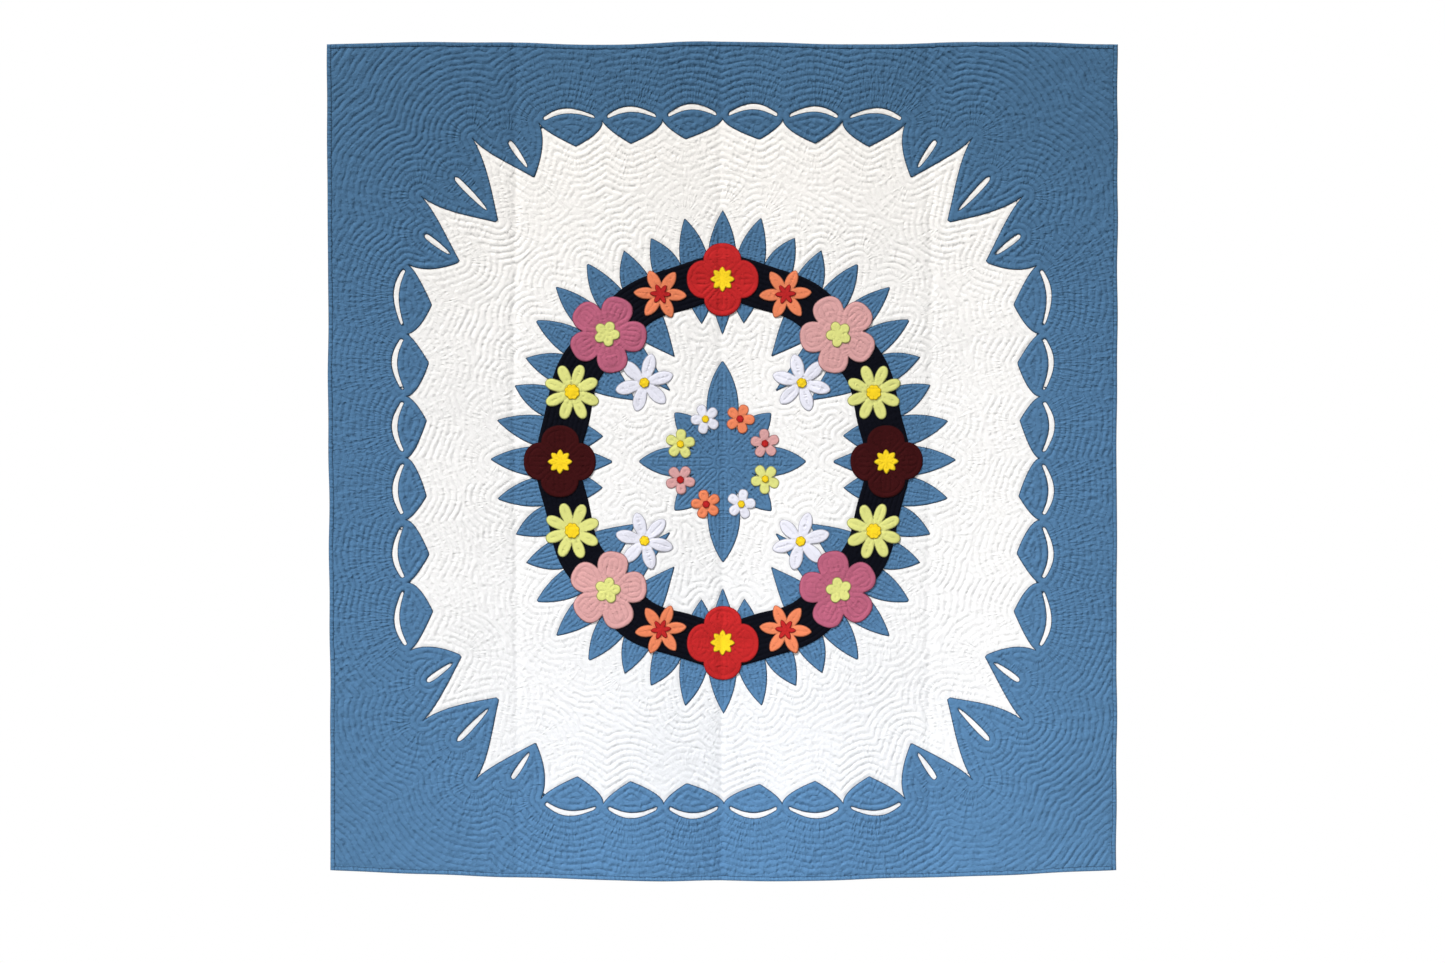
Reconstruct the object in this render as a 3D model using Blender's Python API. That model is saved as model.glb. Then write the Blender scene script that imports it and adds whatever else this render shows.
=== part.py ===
# Quilted wall hanging: a padded panel with a cut cloth frame, a wreath of appliqued leaves
# and flowers, a middle rosette and a bound edge, hanging by its top edge.
# Every piece is drawn flat, with X across, Y up and Z towards the viewer. An empty then
# stands the work upright, so that in the world +Z is up and the front faces -Y.
# The origin is the middle of the top edge.
import math

import bmesh
import bpy

INCH = 0.0254
MM = 0.001
HEIGHT = 80 * INCH
WIDTH = 76 * INCH
HALF_W = WIDTH / 2
HALF_H = HEIGHT / 2

# Layers, from the middle of the panel towards the viewer
CLOTH = 1.0 * MM
GAP = 0.3 * MM
PANEL_THICK = 3.0 * MM
PANEL_FRONT = PANEL_THICK / 2
BINDING_WIDTH = 11 * MM
BINDING_LIP_CLEAR = 2 * MM

# Quilting: one raised ridge stands for three rounds of stitching, 15 mm apart. A column of the
# rounds whose direction is this near to a corner's is moved onto the corner.
RIDGE = 1.8 * MM
FRAME_RIDGES = 3
GROUND_RIDGES = 3
CORNER_SNAP = 0.01

# The grid whose cells stay flat when the cloth hangs in its folds
GRID_COLUMNS = 12
GRID_ROWS = 2
CELL_W = WIDTH / GRID_COLUMNS
CELL_H = HEIGHT / GRID_ROWS

# Soft folds: across, half width, depth towards the viewer at the top and at the bottom
FOLDS = (
    {"across": -0.80, "half": 0.17, "top": 3 * MM, "bottom": 11 * MM},
    {"across": -0.51, "half": 0.12, "top": -6 * MM, "bottom": -7 * MM},
    {"across": -0.22, "half": 0.18, "top": 4 * MM, "bottom": 14 * MM},
    {"across": 0.01, "half": 0.11, "top": -7 * MM, "bottom": -12 * MM},
    {"across": 0.25, "half": 0.17, "top": 5 * MM, "bottom": 15 * MM},
    {"across": 0.51, "half": 0.12, "top": -4 * MM, "bottom": -6 * MM},
    {"across": 0.81, "half": 0.16, "top": 2 * MM, "bottom": 13 * MM},
)
BOTTOM_SAG = 27 * MM
SAG_LIFT = 14 * MM
TOP_HUMP = 3 * MM
LEFT_LEAN = 9 * MM
RIGHT_LEAN = -5 * MM

# Leaf lobes, which the frame's inner edge, the wreath's leaves and the rosette share: steps from
# a notch to the tip, and the powers that round a leaf's sides
LEAF_STEPS = (0.0, 0.12, 0.5)
FRAME_STEPS = (0.0, 0.25)
LEAF_ROUND = 0.6
ROSETTE_ROUND = 0.75

# Inner edge of the cut frame: a squarish oval through the notches, and a quarter of its lobes
# from the middle of a side to the middle of the top. Spans are in degrees.
OVAL_W = 0.775
OVAL_H = 0.830
OVAL_POWER = 5.5
QUARTER = (
    {"span": 11.0, "depth": 0.050, "tip": 0.66, "slit": "crescent"},
    {"span": 10.5, "depth": 0.058, "tip": 0.66, "slit": "crescent"},
    {"span": 10.0, "depth": 0.068, "tip": 0.62, "slit": "crescent"},
    {"span": 9.5, "depth": 0.145, "tip": 0.56, "slit": "vein"},
    {"span": 11.0, "depth": 0.205, "tip": 0.50, "slit": "vein"},
    {"span": 9.5, "depth": 0.145, "tip": 0.44, "slit": "vein"},
    {"span": 9.0, "depth": 0.068, "tip": 0.38, "slit": "crescent"},
    {"span": 9.5, "depth": 0.058, "tip": 0.34, "slit": "crescent"},
    {"span": 10.0, "depth": 0.050, "tip": 0.34, "slit": "crescent"},
)
CRESCENT = {"start": 0.10, "stop": 0.90, "off": 0.010, "inner": 0.012, "outer": 0.026, "steps": 3}
VEIN = {"start": 0.25, "stop": 0.80, "half": 0.007}
SLIT_REACH = 0.040
SLIT_ZONE = 0.052
EDGE_MARGIN = 5 * MM

# Wreath: its oval, the band on it, and how far its leaves reach over the ground
RING_W = 0.400
RING_H = 0.440
BAND_HALF = 0.054
BAND_WAVE = 0.005
BAND_WAVES = 12
BAND_POINTS = 60
REACH_W = 0.590
REACH_H = 0.630

# Leaves cut as fans, out or in from the band: degrees round the oval and a length to each leaf
LEAF_HIDDEN = 0.020
LEAF_NOTCH = 0.046
LEAF_LEAN = 0.16
FANS = (
    {"name": "leaves_out", "count": 8, "first": 0, "way": 1, "pitch": 8.7,
     "lengths": (0.090, 0.113, 0.124, 0.113, 0.090)},
    {"name": "leaves_in", "count": 4, "first": 45, "way": -1, "pitch": 13.0,
     "lengths": (0.105, 0.165, 0.105)},
    {"name": "leaves_bud", "count": 4, "first": 0, "way": -1, "pitch": 9.0,
     "lengths": (0.055, 0.088, 0.055)},
)

# Flower outlines: petals, reach, reach at the notch, roundness and points to a petal
ROSE = {"petals": 5, "reach": 0.096, "notch": 0.62, "round": 3.0, "points": 6, "eye": "lime"}
POPPY = {"petals": 4, "reach": 0.088, "notch": 0.74, "round": 2.4, "points": 7, "eye": "yellow"}
LILY = {"petals": 6, "reach": 0.064, "notch": 0.40, "round": 1.3, "points": 4, "eye": None}
DAISY = {"petals": 8, "reach": 0.069, "notch": 0.44, "round": 2.2, "points": 4, "eye": None}
JASMINE = {"petals": 6, "reach": 0.072, "notch": 0.34, "round": 1.6, "points": 4, "eye": None}
BLOSSOM = {"petals": 5, "reach": 0.036, "notch": 0.48, "round": 2.6, "points": 4, "eye": None}
EYES = {
    "lime": {"petals": 5, "reach": 0.032, "notch": 0.66, "round": 2.0, "points": 4},
    "yellow": {"petals": 8, "reach": 0.030, "notch": 0.66, "round": 1.2, "points": 2},
}

# Flowers on the wreath, in order round it from the right: name and outline. A name starts
# with its cloth.
AROUND = (
    ("maroon_poppy", POPPY), ("lime_daisy", DAISY), ("pink_rose", ROSE), ("orange_lily", LILY),
    ("red_poppy", POPPY), ("orange_lily", LILY), ("mauve_rose", ROSE), ("lime_daisy", DAISY),
    ("maroon_poppy", POPPY), ("lime_daisy", DAISY), ("pink_rose", ROSE), ("orange_lily", LILY),
    ("red_poppy", POPPY), ("orange_lily", LILY), ("mauve_rose", ROSE), ("lime_daisy", DAISY),
)
JASMINE_FROM_MIDDLE = 0.272
JASMINE_COUNT = 4

# Rosette in the middle, with a ring of small blossoms
ROSETTE_NOTCH = 0.078
ROSETTE_W = 0.205
ROSETTE_H = 0.245
ROSETTE_SLANT = 0.168
ROSETTE_LOBES = 8
BLOSSOM_RING = 0.112
BLOSSOMS = ("pink", "orange", "white", "lime") * 2

# Cloth colours, as linear values, and the roughness of washed cotton
COTTON = 0.9
COLOURS = {
    "white_cotton": (0.86, 0.85, 0.82),
    "blue_cotton": (0.072, 0.175, 0.330),
    "navy_cotton": (0.004, 0.005, 0.013),
    "pink": (0.76, 0.40, 0.40),
    "mauve": (0.46, 0.115, 0.19),
    "orange": (0.84, 0.22, 0.10),
    "lime": (0.70, 0.73, 0.22),
    "white": (0.72, 0.73, 0.86),
    "red": (0.50, 0.016, 0.018),
    "maroon": (0.055, 0.005, 0.005),
    "yellow": (0.90, 0.60, 0.02),
}


def hung(x, y):
    """Where a point of the flat cloth hangs: the folds deepen downwards and the hem sags."""
    down = min(max(-y / HEIGHT, 0.0), 1.0)
    depth = 0.0
    for fold in FOLDS:
        amount = fold["top"] + (fold["bottom"] - fold["top"]) * down
        depth += amount * math.exp(-(((x - fold["across"]) / fold["half"]) ** 2))
    along = x / HALF_W
    sag = (SAG_LIFT - BOTTOM_SAG * math.cos(along * math.pi / 2)) * down
    hump = TOP_HUMP * math.cos(along * math.pi * 3) * (1 - down)
    lean = (LEFT_LEAN * (1 - along) + RIGHT_LEAN * (1 + along)) / 2 * down
    return x + lean, y + sag + hump, depth


GRID = [
    [hung(-HALF_W + i * CELL_W, -j * CELL_H) for j in range(GRID_ROWS + 1)]
    for i in range(GRID_COLUMNS + 1)
]


def cloth_place(x, y):
    """The hanging place of a flat point, taken straight across each half cell of the grid."""
    across = (x + HALF_W) / CELL_W
    down = -y / CELL_H
    i = min(max(math.floor(across), 0), GRID_COLUMNS - 1)
    j = min(max(math.floor(down), 0), GRID_ROWS - 1)
    u, v = across - i, down - j
    near, far = GRID[i][j], GRID[i + 1][j + 1]
    side = GRID[i + 1][j] if u >= v else GRID[i][j + 1]
    big, small = max(u, v), min(u, v)
    return tuple(a + big * (s - a) + small * (f - s) for a, s, f in zip(near, side, far))


def cell_cuts():
    """A point and a normal for each line between the grid's half cells."""
    for i in range(1, GRID_COLUMNS):
        yield (-HALF_W + i * CELL_W, 0, 0), (1, 0, 0)
    for j in range(1, GRID_ROWS):
        yield (0, -j * CELL_H, 0), (0, 1, 0)
    for k in range(1 - GRID_ROWS, GRID_COLUMNS):
        yield (-HALF_W + k * CELL_W, 0, 0), (CELL_H, CELL_W, 0)


def cotton(name, colour):
    material = bpy.data.materials.new(name)
    material.use_nodes = True
    shader = material.node_tree.nodes["Principled BSDF"]
    shader.inputs["Base Color"].default_value = (*colour, 1)
    shader.inputs["Roughness"].default_value = COTTON
    shader.inputs["Metallic"].default_value = 0.0
    material.diffuse_color = (*colour, 1)
    return material


def hang(bm, name, cloth, middle):
    """Creases a flat solid along the grid, hangs it, and makes it an object placed at middle."""
    for point, normal in cell_cuts():
        geometry = [*bm.verts, *bm.edges, *bm.faces]
        bmesh.ops.bisect_plane(bm, geom=geometry, plane_co=point, plane_no=normal, dist=1e-6)
    origin = cloth_place(*middle)
    for v in bm.verts:
        x, y, depth = cloth_place(v.co.x, v.co.y)
        v.co = (x - origin[0], y - origin[1], v.co.z + depth - origin[2])
    bmesh.ops.recalc_face_normals(bm, faces=bm.faces)
    mesh = bpy.data.meshes.new(name)
    bm.to_mesh(mesh)
    bm.free()
    mesh.materials.append(MATERIALS[cloth])
    piece = bpy.data.objects.new(name, mesh)
    piece.location = origin
    piece.parent = UPRIGHT
    QUILT.objects.link(piece)


def layer_back(layer):
    """The back of an appliqued layer, 0 lying on the panel, 1 on layer 0, and so on."""
    return PANEL_FRONT + GAP + layer * (CLOTH + GAP)


def flat_cloth(outlines, layer):
    """A flat sheet of one cloth's thickness. An outline inside the first is a hole."""
    curve = bpy.data.curves.new("pattern", "CURVE")
    curve.dimensions = "2D"
    curve.fill_mode = "BOTH"
    curve.extrude = CLOTH / 2
    for outline in outlines:
        spline = curve.splines.new("POLY")
        spline.points.add(len(outline) - 1)
        for point, (x, y) in zip(spline.points, outline):
            point.co = (x, y, 0, 1)
        spline.use_cyclic_u = True
    pattern = bpy.data.objects.new("pattern", curve)
    QUILT.objects.link(pattern)
    graph = bpy.context.evaluated_depsgraph_get()
    mesh = bpy.data.meshes.new_from_object(pattern.evaluated_get(graph))
    bpy.data.objects.remove(pattern)
    bpy.data.curves.remove(curve)
    bm = bmesh.new()
    bm.from_mesh(mesh)
    bpy.data.meshes.remove(mesh)
    bmesh.ops.remove_doubles(bm, verts=bm.verts, dist=1e-6)
    lift = layer_back(layer) + CLOTH / 2
    for v in bm.verts:
        v.co.z += lift
    return bm


def cut_cloth(name, outlines, layer, cloth, middle=(0.0, -HALF_H)):
    hang(flat_cloth(outlines, layer), name, cloth, middle)


def from_middle(radius, angle):
    """A flat point at that distance and angle from the quilt's middle."""
    return radius * math.cos(angle), radius * math.sin(angle) - HALF_H


def leaf_lobe(tip, steps=LEAF_STEPS, power=LEAF_ROUND):
    """Shares of a lobe's base with the height there, from its first notch up to the tip and
    down to just short of the next notch. The sides are round and the tip is pointed."""
    rise = [(tip * step, step ** power) for step in steps]
    fall = [(1 - (1 - tip) * step, step ** power) for step in (1.0, *steps[:0:-1])]
    return rise + fall


def oval(angle):
    """Distance from the middle to the squarish oval through the frame's notches."""
    return (abs(math.cos(angle) / OVAL_W) ** OVAL_POWER
            + abs(math.sin(angle) / OVAL_H) ** OVAL_POWER) ** (-1 / OVAL_POWER)


def frame_lobes():
    """The lobes round the frame, as first angle, span and row. Every second quarter mirrors."""
    first = 0.0
    for quarter in range(4):
        mirrored = quarter % 2 == 1
        for row in (reversed(QUARTER) if mirrored else QUARTER):
            span = math.radians(row["span"])
            yield first, span, {**row, "tip": 1 - row["tip"]} if mirrored else row
            first += span


def frame_columns():
    """The angle and the frame edge's distance for each column of the quilted rounds."""
    return [
        (first + span * share, oval(first + span * share) - row["depth"] * height)
        for first, span, row in frame_lobes()
        for share, height in leaf_lobe(row["tip"], FRAME_STEPS)
    ]


COLUMNS = frame_columns()


def edge_loop(margin, z):
    """A loop that follows the frame's inner edge, margin outside it."""
    return [(*from_middle(radius + margin, angle), z) for angle, radius in COLUMNS]


def slit_zone_loop(z):
    """The line outside the frame's slits, where its quilted rounds start."""
    return [(*from_middle(oval(angle) + SLIT_ZONE, angle), z) for angle, _ in COLUMNS[::2]]


def reach_loop(z):
    """The oval that the wreath's leaves reach."""
    return [
        (*from_middle(1 / math.hypot(math.cos(a) / REACH_W, math.sin(a) / REACH_H), a), z)
        for a, _ in COLUMNS
    ]


def oblong_loop(inset, z):
    """A loop round an oblong set in from the quilt's edge. The tips of the frame's corner lobes
    point at its corners, so the columns there are moved onto them."""
    half_w, half_h = HALF_W - inset, HALF_H - inset
    loop = []
    for angle, _ in COLUMNS[::2]:
        across, up = math.cos(angle) / half_w, math.sin(angle) / half_h
        if abs(abs(across) - abs(up)) < CORNER_SNAP:
            x, y = math.copysign(half_w, across), math.copysign(half_h, up)
        else:
            radius = 1 / max(abs(across), abs(up))
            x, y = radius * math.cos(angle), radius * math.sin(angle)
        loop.append((x, y - HALF_H, z))
    return loop


def ridge_loops(start, end, ridges):
    """Loops from start to end that rise and fall once for each quilted ridge."""
    steps = 2 * ridges
    loops = [start]
    for step in range(1, steps):
        share = step / steps
        lift = RIDGE if step % 2 else 0.0
        loops.append([
            (a[0] + share * (b[0] - a[0]), a[1] + share * (b[1] - a[1]), a[2] + lift)
            for a, b in zip(start, end)
        ])
    return loops + [end]


def loft(bm, loops):
    """Adds bands of faces that join closed loops in order. A loop with half the points of the
    last one is joined by three faces to each of its edges."""
    rings = [[bm.verts.new(point) for point in loop] for loop in loops]
    for a, b in zip(rings, rings[1:]):
        step = len(a) // len(b)
        for k in range(len(b)):
            low, high = a[k * step], a[(k + 1) * step % len(a)]
            if step == 1:
                bm.faces.new((low, high, b[(k + 1) % len(b)], b[k]))
            else:
                middle = a[k * step + 1]
                bm.faces.new((low, middle, b[k]))
                bm.faces.new((middle, b[(k + 1) % len(b)], b[k]))
                bm.faces.new((middle, high, b[(k + 1) % len(b)]))
    return rings


def make_panel():
    """Ground cloth, filling and backing, quilted into one thick sheet."""
    edge = CLOTH + GAP
    loops = ridge_loops(reach_loop(PANEL_FRONT), edge_loop(-EDGE_MARGIN, PANEL_FRONT), GROUND_RIDGES)
    loops += [
        edge_loop(EDGE_MARGIN, PANEL_FRONT),
        oblong_loop(edge, PANEL_FRONT),
        oblong_loop(edge, -PANEL_FRONT),
    ]
    bm = bmesh.new()
    rings = loft(bm, loops)
    bm.faces.new(rings[0])
    bm.faces.new(rings[-1])
    hang(bm, "quilted_panel", "white_cotton", (0, -HALF_H))


def slit(first, span, row):
    """A narrow hole in the frame: a crescent round the foot of a lobe, or a vein along a leaf."""
    if row["slit"] == "crescent":
        steps = CRESCENT["steps"]
        start, stop = CRESCENT["start"], CRESCENT["stop"]
        outline = []
        for side, count in (("outer", range(steps + 1)), ("inner", range(steps - 1, 0, -1))):
            for k in count:
                bow = math.sin(math.pi * k / steps)
                angle = first + span * (start + (stop - start) * k / steps)
                off = CRESCENT["off"] + CRESCENT[side] * bow
                outline.append(from_middle(oval(angle) + off, angle))
        return outline
    angle = first + span * row["tip"]
    foot, tip = (oval(angle) - row["depth"] * VEIN[end] for end in ("start", "stop"))
    widest = foot + (tip - foot) / 3
    lean = VEIN["half"] / widest
    return [
        from_middle(foot, angle), from_middle(widest, angle + lean),
        from_middle(tip, angle), from_middle(widest, angle - lean),
    ]


def make_frame():
    """The cut blue cloth round the panel, quilted in rounds outside its slits."""
    back = layer_back(0)
    front = back + CLOTH
    edge = CLOTH + GAP
    outlines = [
        [point[:2] for point in slit_zone_loop(0)],
        [point[:2] for point in edge_loop(0, 0)],
        *(slit(first, span, row) for first, span, row in frame_lobes()),
    ]
    bm = flat_cloth(outlines, 0)
    outer_wall = []
    for f in bm.faces:
        middle = f.calc_center_median()
        angle = math.atan2(middle.y + HALF_H, middle.x)
        off = math.hypot(middle.x, middle.y + HALF_H) - oval(angle)
        if abs(f.normal.z) < 0.5 and off > SLIT_REACH:
            outer_wall.append(f)
    bmesh.ops.delete(bm, geom=outer_wall, context="FACES")
    under_binding = BINDING_WIDTH + BINDING_LIP_CLEAR
    loops = ridge_loops(slit_zone_loop(front), oblong_loop(under_binding, front), FRAME_RIDGES)
    loops += [oblong_loop(edge, front), oblong_loop(edge, back), slit_zone_loop(back)]
    loft(bm, loops)
    bmesh.ops.remove_doubles(bm, verts=bm.verts, dist=1e-5)
    hang(bm, "cut_frame", "blue_cotton", (0, -HALF_H))


def ring_point(turn, off=0.0):
    """A point off the wreath's oval by that much, and the outward direction there."""
    normal = math.atan2(math.sin(turn) * RING_W, math.cos(turn) * RING_H)
    x = RING_W * math.cos(turn) + off * math.cos(normal)
    y = RING_H * math.sin(turn) + off * math.sin(normal) - HALF_H
    return x, y, normal


def make_band():
    """The dark ring under the flowers, with wavy edges."""
    outlines = []
    for side in (1, -1):
        turns = [2 * math.pi * k / BAND_POINTS for k in range(BAND_POINTS)]
        outlines.append([
            ring_point(turn, side * BAND_HALF + BAND_WAVE * math.cos(turn * BAND_WAVES))[:2]
            for turn in turns
        ])
    cut_cloth("wreath_band", outlines, 1, "navy_cotton")


def fan_outline(row, turn):
    """Leaves cut as one, side by side along the wreath's oval, their feet under the band."""
    pitch = math.radians(row["pitch"])
    count = len(row["lengths"])
    start = turn - pitch * count / 2
    outline = []
    for k, length in enumerate(row["lengths"]):
        lean = LEAF_LEAN * (2 * k / (count - 1) - 1)
        for share, height in leaf_lobe(0.5 + lean):
            off = row["way"] * (LEAF_NOTCH + length * height)
            outline.append(ring_point(start + pitch * (k + share), off)[:2])
    outline.append(ring_point(start + pitch * count, row["way"] * LEAF_NOTCH)[:2])
    for k in range(count, -1, -1):
        outline.append(ring_point(start + pitch * k, row["way"] * LEAF_HIDDEN)[:2])
    return outline


def make_leaves():
    for row in FANS:
        for k in range(row["count"]):
            turn = math.radians(row["first"]) + 2 * math.pi * k / row["count"]
            middle = ring_point(turn, row["way"] * LEAF_NOTCH)[:2]
            cut_cloth(f"{row['name']}_{k + 1}", [fan_outline(row, turn)], 0, "blue_cotton", middle)


def flower_outline(kind, x, y, turn):
    """Petals as a radius that swells from the notch to the reach and back."""
    total = kind["petals"] * kind["points"]
    outline = []
    for k in range(total):
        off_centre = abs(2 * ((k / kind["points"] + 0.5) % 1) - 1)
        swell = 1 - off_centre ** kind["round"]
        radius = kind["reach"] * (kind["notch"] + (1 - kind["notch"]) * swell)
        angle = turn + 2 * math.pi * k / total
        outline.append((x + radius * math.cos(angle), y + radius * math.sin(angle)))
    return outline


def make_flowers():
    seen = {}
    for k, (name, kind) in enumerate(AROUND):
        x, y, normal = ring_point(2 * math.pi * k / len(AROUND))
        seen[name] = seen.get(name, 0) + 1
        number = seen[name]
        cloth = name.split("_")[0]
        cut_cloth(f"{name}_{number}", [flower_outline(kind, x, y, normal)], 2, cloth, (x, y))
        eye = kind["eye"]
        if eye:
            outline = flower_outline(EYES[eye], x, y, normal)
            cut_cloth(f"{name}_eye_{number}", [outline], 3, eye, (x, y))
    for k in range(JASMINE_COUNT):
        angle = math.pi * (k + 0.5) * 2 / JASMINE_COUNT
        x, y = from_middle(JASMINE_FROM_MIDDLE, angle)
        outline = flower_outline(JASMINE, x, y, angle)
        cut_cloth(f"white_jasmine_{k + 1}", [outline], 1, "white", (x, y))


def make_rosette():
    """Leaf lobes cut as one, longer up and down than on the slant, with a ring of blossoms."""
    outline = []
    span = 2 * math.pi / ROSETTE_LOBES
    for k in range(ROSETTE_LOBES):
        middle = k * span
        upright = math.hypot(math.cos(middle) * ROSETTE_W, math.sin(middle) * ROSETTE_H)
        reach = ROSETTE_SLANT if k % 2 else upright
        for share, height in leaf_lobe(0.5, power=ROSETTE_ROUND):
            radius = ROSETTE_NOTCH + (reach - ROSETTE_NOTCH) * height
            outline.append(from_middle(radius, middle + span * (share - 0.5)))
    cut_cloth("rosette", [outline], 0, "blue_cotton")
    for k, cloth in enumerate(BLOSSOMS):
        angle = 2 * math.pi * (k + 0.5) / len(BLOSSOMS)
        x, y = from_middle(BLOSSOM_RING, angle)
        outline = flower_outline(BLOSSOM, x, y, angle)
        cut_cloth(f"{cloth}_blossom_{k // 4 + 1}", [outline], 1, cloth, (x, y))


def binding_profile():
    """A folded strip that wraps an edge: (distance in from the edge, Z), round a U."""
    front = layer_back(1)
    back = -PANEL_FRONT - GAP
    return (
        (0, back - CLOTH), (BINDING_WIDTH, back - CLOTH), (BINDING_WIDTH, back),
        (CLOTH, back), (CLOTH, front), (BINDING_WIDTH, front),
        (BINDING_WIDTH, front + CLOTH), (0, front + CLOTH),
    )


def make_binding():
    """Side strips run the full height, and the top and bottom strips butt against them."""
    end = HALF_W - BINDING_WIDTH - GAP
    strips = {
        "binding_left": ((-HALF_W, 0), (-HALF_W, -HEIGHT), (1, 0)),
        "binding_right": ((HALF_W, 0), (HALF_W, -HEIGHT), (-1, 0)),
        "binding_top": ((-end, 0), (end, 0), (0, -1)),
        "binding_bottom": ((-end, -HEIGHT), (end, -HEIGHT), (0, 1)),
    }
    for name, (start, stop, inwards) in strips.items():
        ends = [
            [(x + inwards[0] * inset, y + inwards[1] * inset, z) for inset, z in binding_profile()]
            for x, y in (start, stop)
        ]
        middle = ((start[0] + stop[0]) / 2, (start[1] + stop[1]) / 2)
        bm = bmesh.new()
        rings = loft(bm, ends)
        bm.faces.new(rings[0])
        bm.faces.new(rings[-1])
        hang(bm, name, "blue_cotton", middle)


for old in list(bpy.data.objects):
    bpy.data.objects.remove(old)
QUILT = bpy.data.collections.new("quilted_wall_hanging")
bpy.context.scene.collection.children.link(QUILT)
UPRIGHT = bpy.data.objects.new("upright", None)
UPRIGHT.rotation_euler = (math.pi / 2, 0, 0)
QUILT.objects.link(UPRIGHT)
MATERIALS = {name: cotton(name, colour) for name, colour in COLOURS.items()}

make_panel()
make_frame()
make_leaves()
make_band()
make_flowers()
make_rosette()
make_binding()
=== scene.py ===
# Quilted wall hanging: the cloths, their quilting, turned edges, folds and bound edge.
# Each cloth is worked out flat, x across and y up from the top edge, and then hung in its folds.
# "lift" is a point's height off the middle of the quilt, towards the viewer.
import bpy
import bmesh
import numpy as np
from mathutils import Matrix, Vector


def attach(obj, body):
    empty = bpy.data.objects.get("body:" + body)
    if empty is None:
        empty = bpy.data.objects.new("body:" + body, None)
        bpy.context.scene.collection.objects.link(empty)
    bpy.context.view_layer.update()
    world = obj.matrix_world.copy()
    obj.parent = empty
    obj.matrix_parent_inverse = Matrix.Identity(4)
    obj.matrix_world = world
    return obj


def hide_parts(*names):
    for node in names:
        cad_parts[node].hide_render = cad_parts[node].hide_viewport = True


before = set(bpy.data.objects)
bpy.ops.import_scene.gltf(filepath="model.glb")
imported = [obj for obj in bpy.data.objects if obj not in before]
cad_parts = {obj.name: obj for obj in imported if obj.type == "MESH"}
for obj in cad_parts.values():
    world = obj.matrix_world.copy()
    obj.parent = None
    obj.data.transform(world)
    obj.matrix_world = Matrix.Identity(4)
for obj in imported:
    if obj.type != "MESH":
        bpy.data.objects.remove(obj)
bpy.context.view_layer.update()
print("frame loaded:", len(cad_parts), "solids")

quilt = {
    "halfWidth": 0.9652,
    "height": 2.032,
    "groundLift": 0.0012,     # the white cloth between its stitches
    "frameLift": 0.0021,      # the blue frame at its cut edge
    "backLift": -0.0017,
    "lineStep": 0.0020,       # longest straight run in an outline
    "borderInset": 0.005,     # the cloths end here, inside the binding
}
middleY = -quilt["height"] / 2

# How the quilt hangs
hanging = {
    # across, half width, depth towards the viewer at the top and at the bottom
    "folds": ((-0.80, 0.17, 0.003, 0.009), (-0.51, 0.12, -0.004, -0.005),
              (-0.22, 0.18, 0.003, 0.011), (0.01, 0.11, -0.003, -0.006),
              (0.25, 0.17, 0.004, 0.012), (0.51, 0.12, -0.003, -0.005),
              (0.81, 0.16, 0.002, 0.010)),
    # across, half width, depth at the top and at the bottom of each pressed crease
    "creases": ((-0.003, 0.0090, 0.0026, 0.0046), (-0.508, 0.008, 0.0050, 0.0024),
                (0.507, 0.009, 0.0030, 0.0030)),
    # a crease strays this far, by the sine of an angle for each metre down and each across
    "creaseWander": 0.003, "creaseBend": 4.1, "creaseStart": 9,
    "sag": 0.027, "sagLift": 0.014, "topHump": 0.003,
    "leanLeft": 0.009, "leanRight": -0.005,
    # low swells between the folds: height, length, share at the top and what the hem adds to it
    "swell": 0.0016, "swellLength": 0.33, "swellTop": 0.4, "swellHem": 0.8,
    # how far the cloth is pulled out of true, and over what lengths across and up
    "wander": 0.0013, "wanderLengths": (0.26, 0.30),
    # the slanting pulls to the left of the middle crease, near the hem
    "pulls": {"x": -0.034, "half": 0.030, "from": -1.50, "to": -1.85,
              "pitch": 0.0165, "high": 0.0016, "slant": 0.80},
}


# Smooth noise of about -1 to 1: eight sine waves near one length, in seeded directions, added up
# and divided by three.
def softNoise(x, y, length, seed, count=8):
    draw = np.random.default_rng(seed)
    turns = draw.uniform(0, 2 * np.pi, count)
    sizes = 2 * np.pi / (length * draw.uniform(0.7, 1.5, count))
    starts = draw.uniform(0, 2 * np.pi, count)
    waves = [np.sin((x * np.cos(turn) + y * np.sin(turn)) * size + start)
             for turn, size, start in zip(turns, sizes, starts)]
    return sum(waves) / 3


# 0 below low, 1 above high, and 3t^2 - 2t^3 between them.
def smoothStep(low, high, value):
    share = np.clip((value - low) / (high - low), 0, 1)
    return share * share * (3 - 2 * share)


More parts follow.
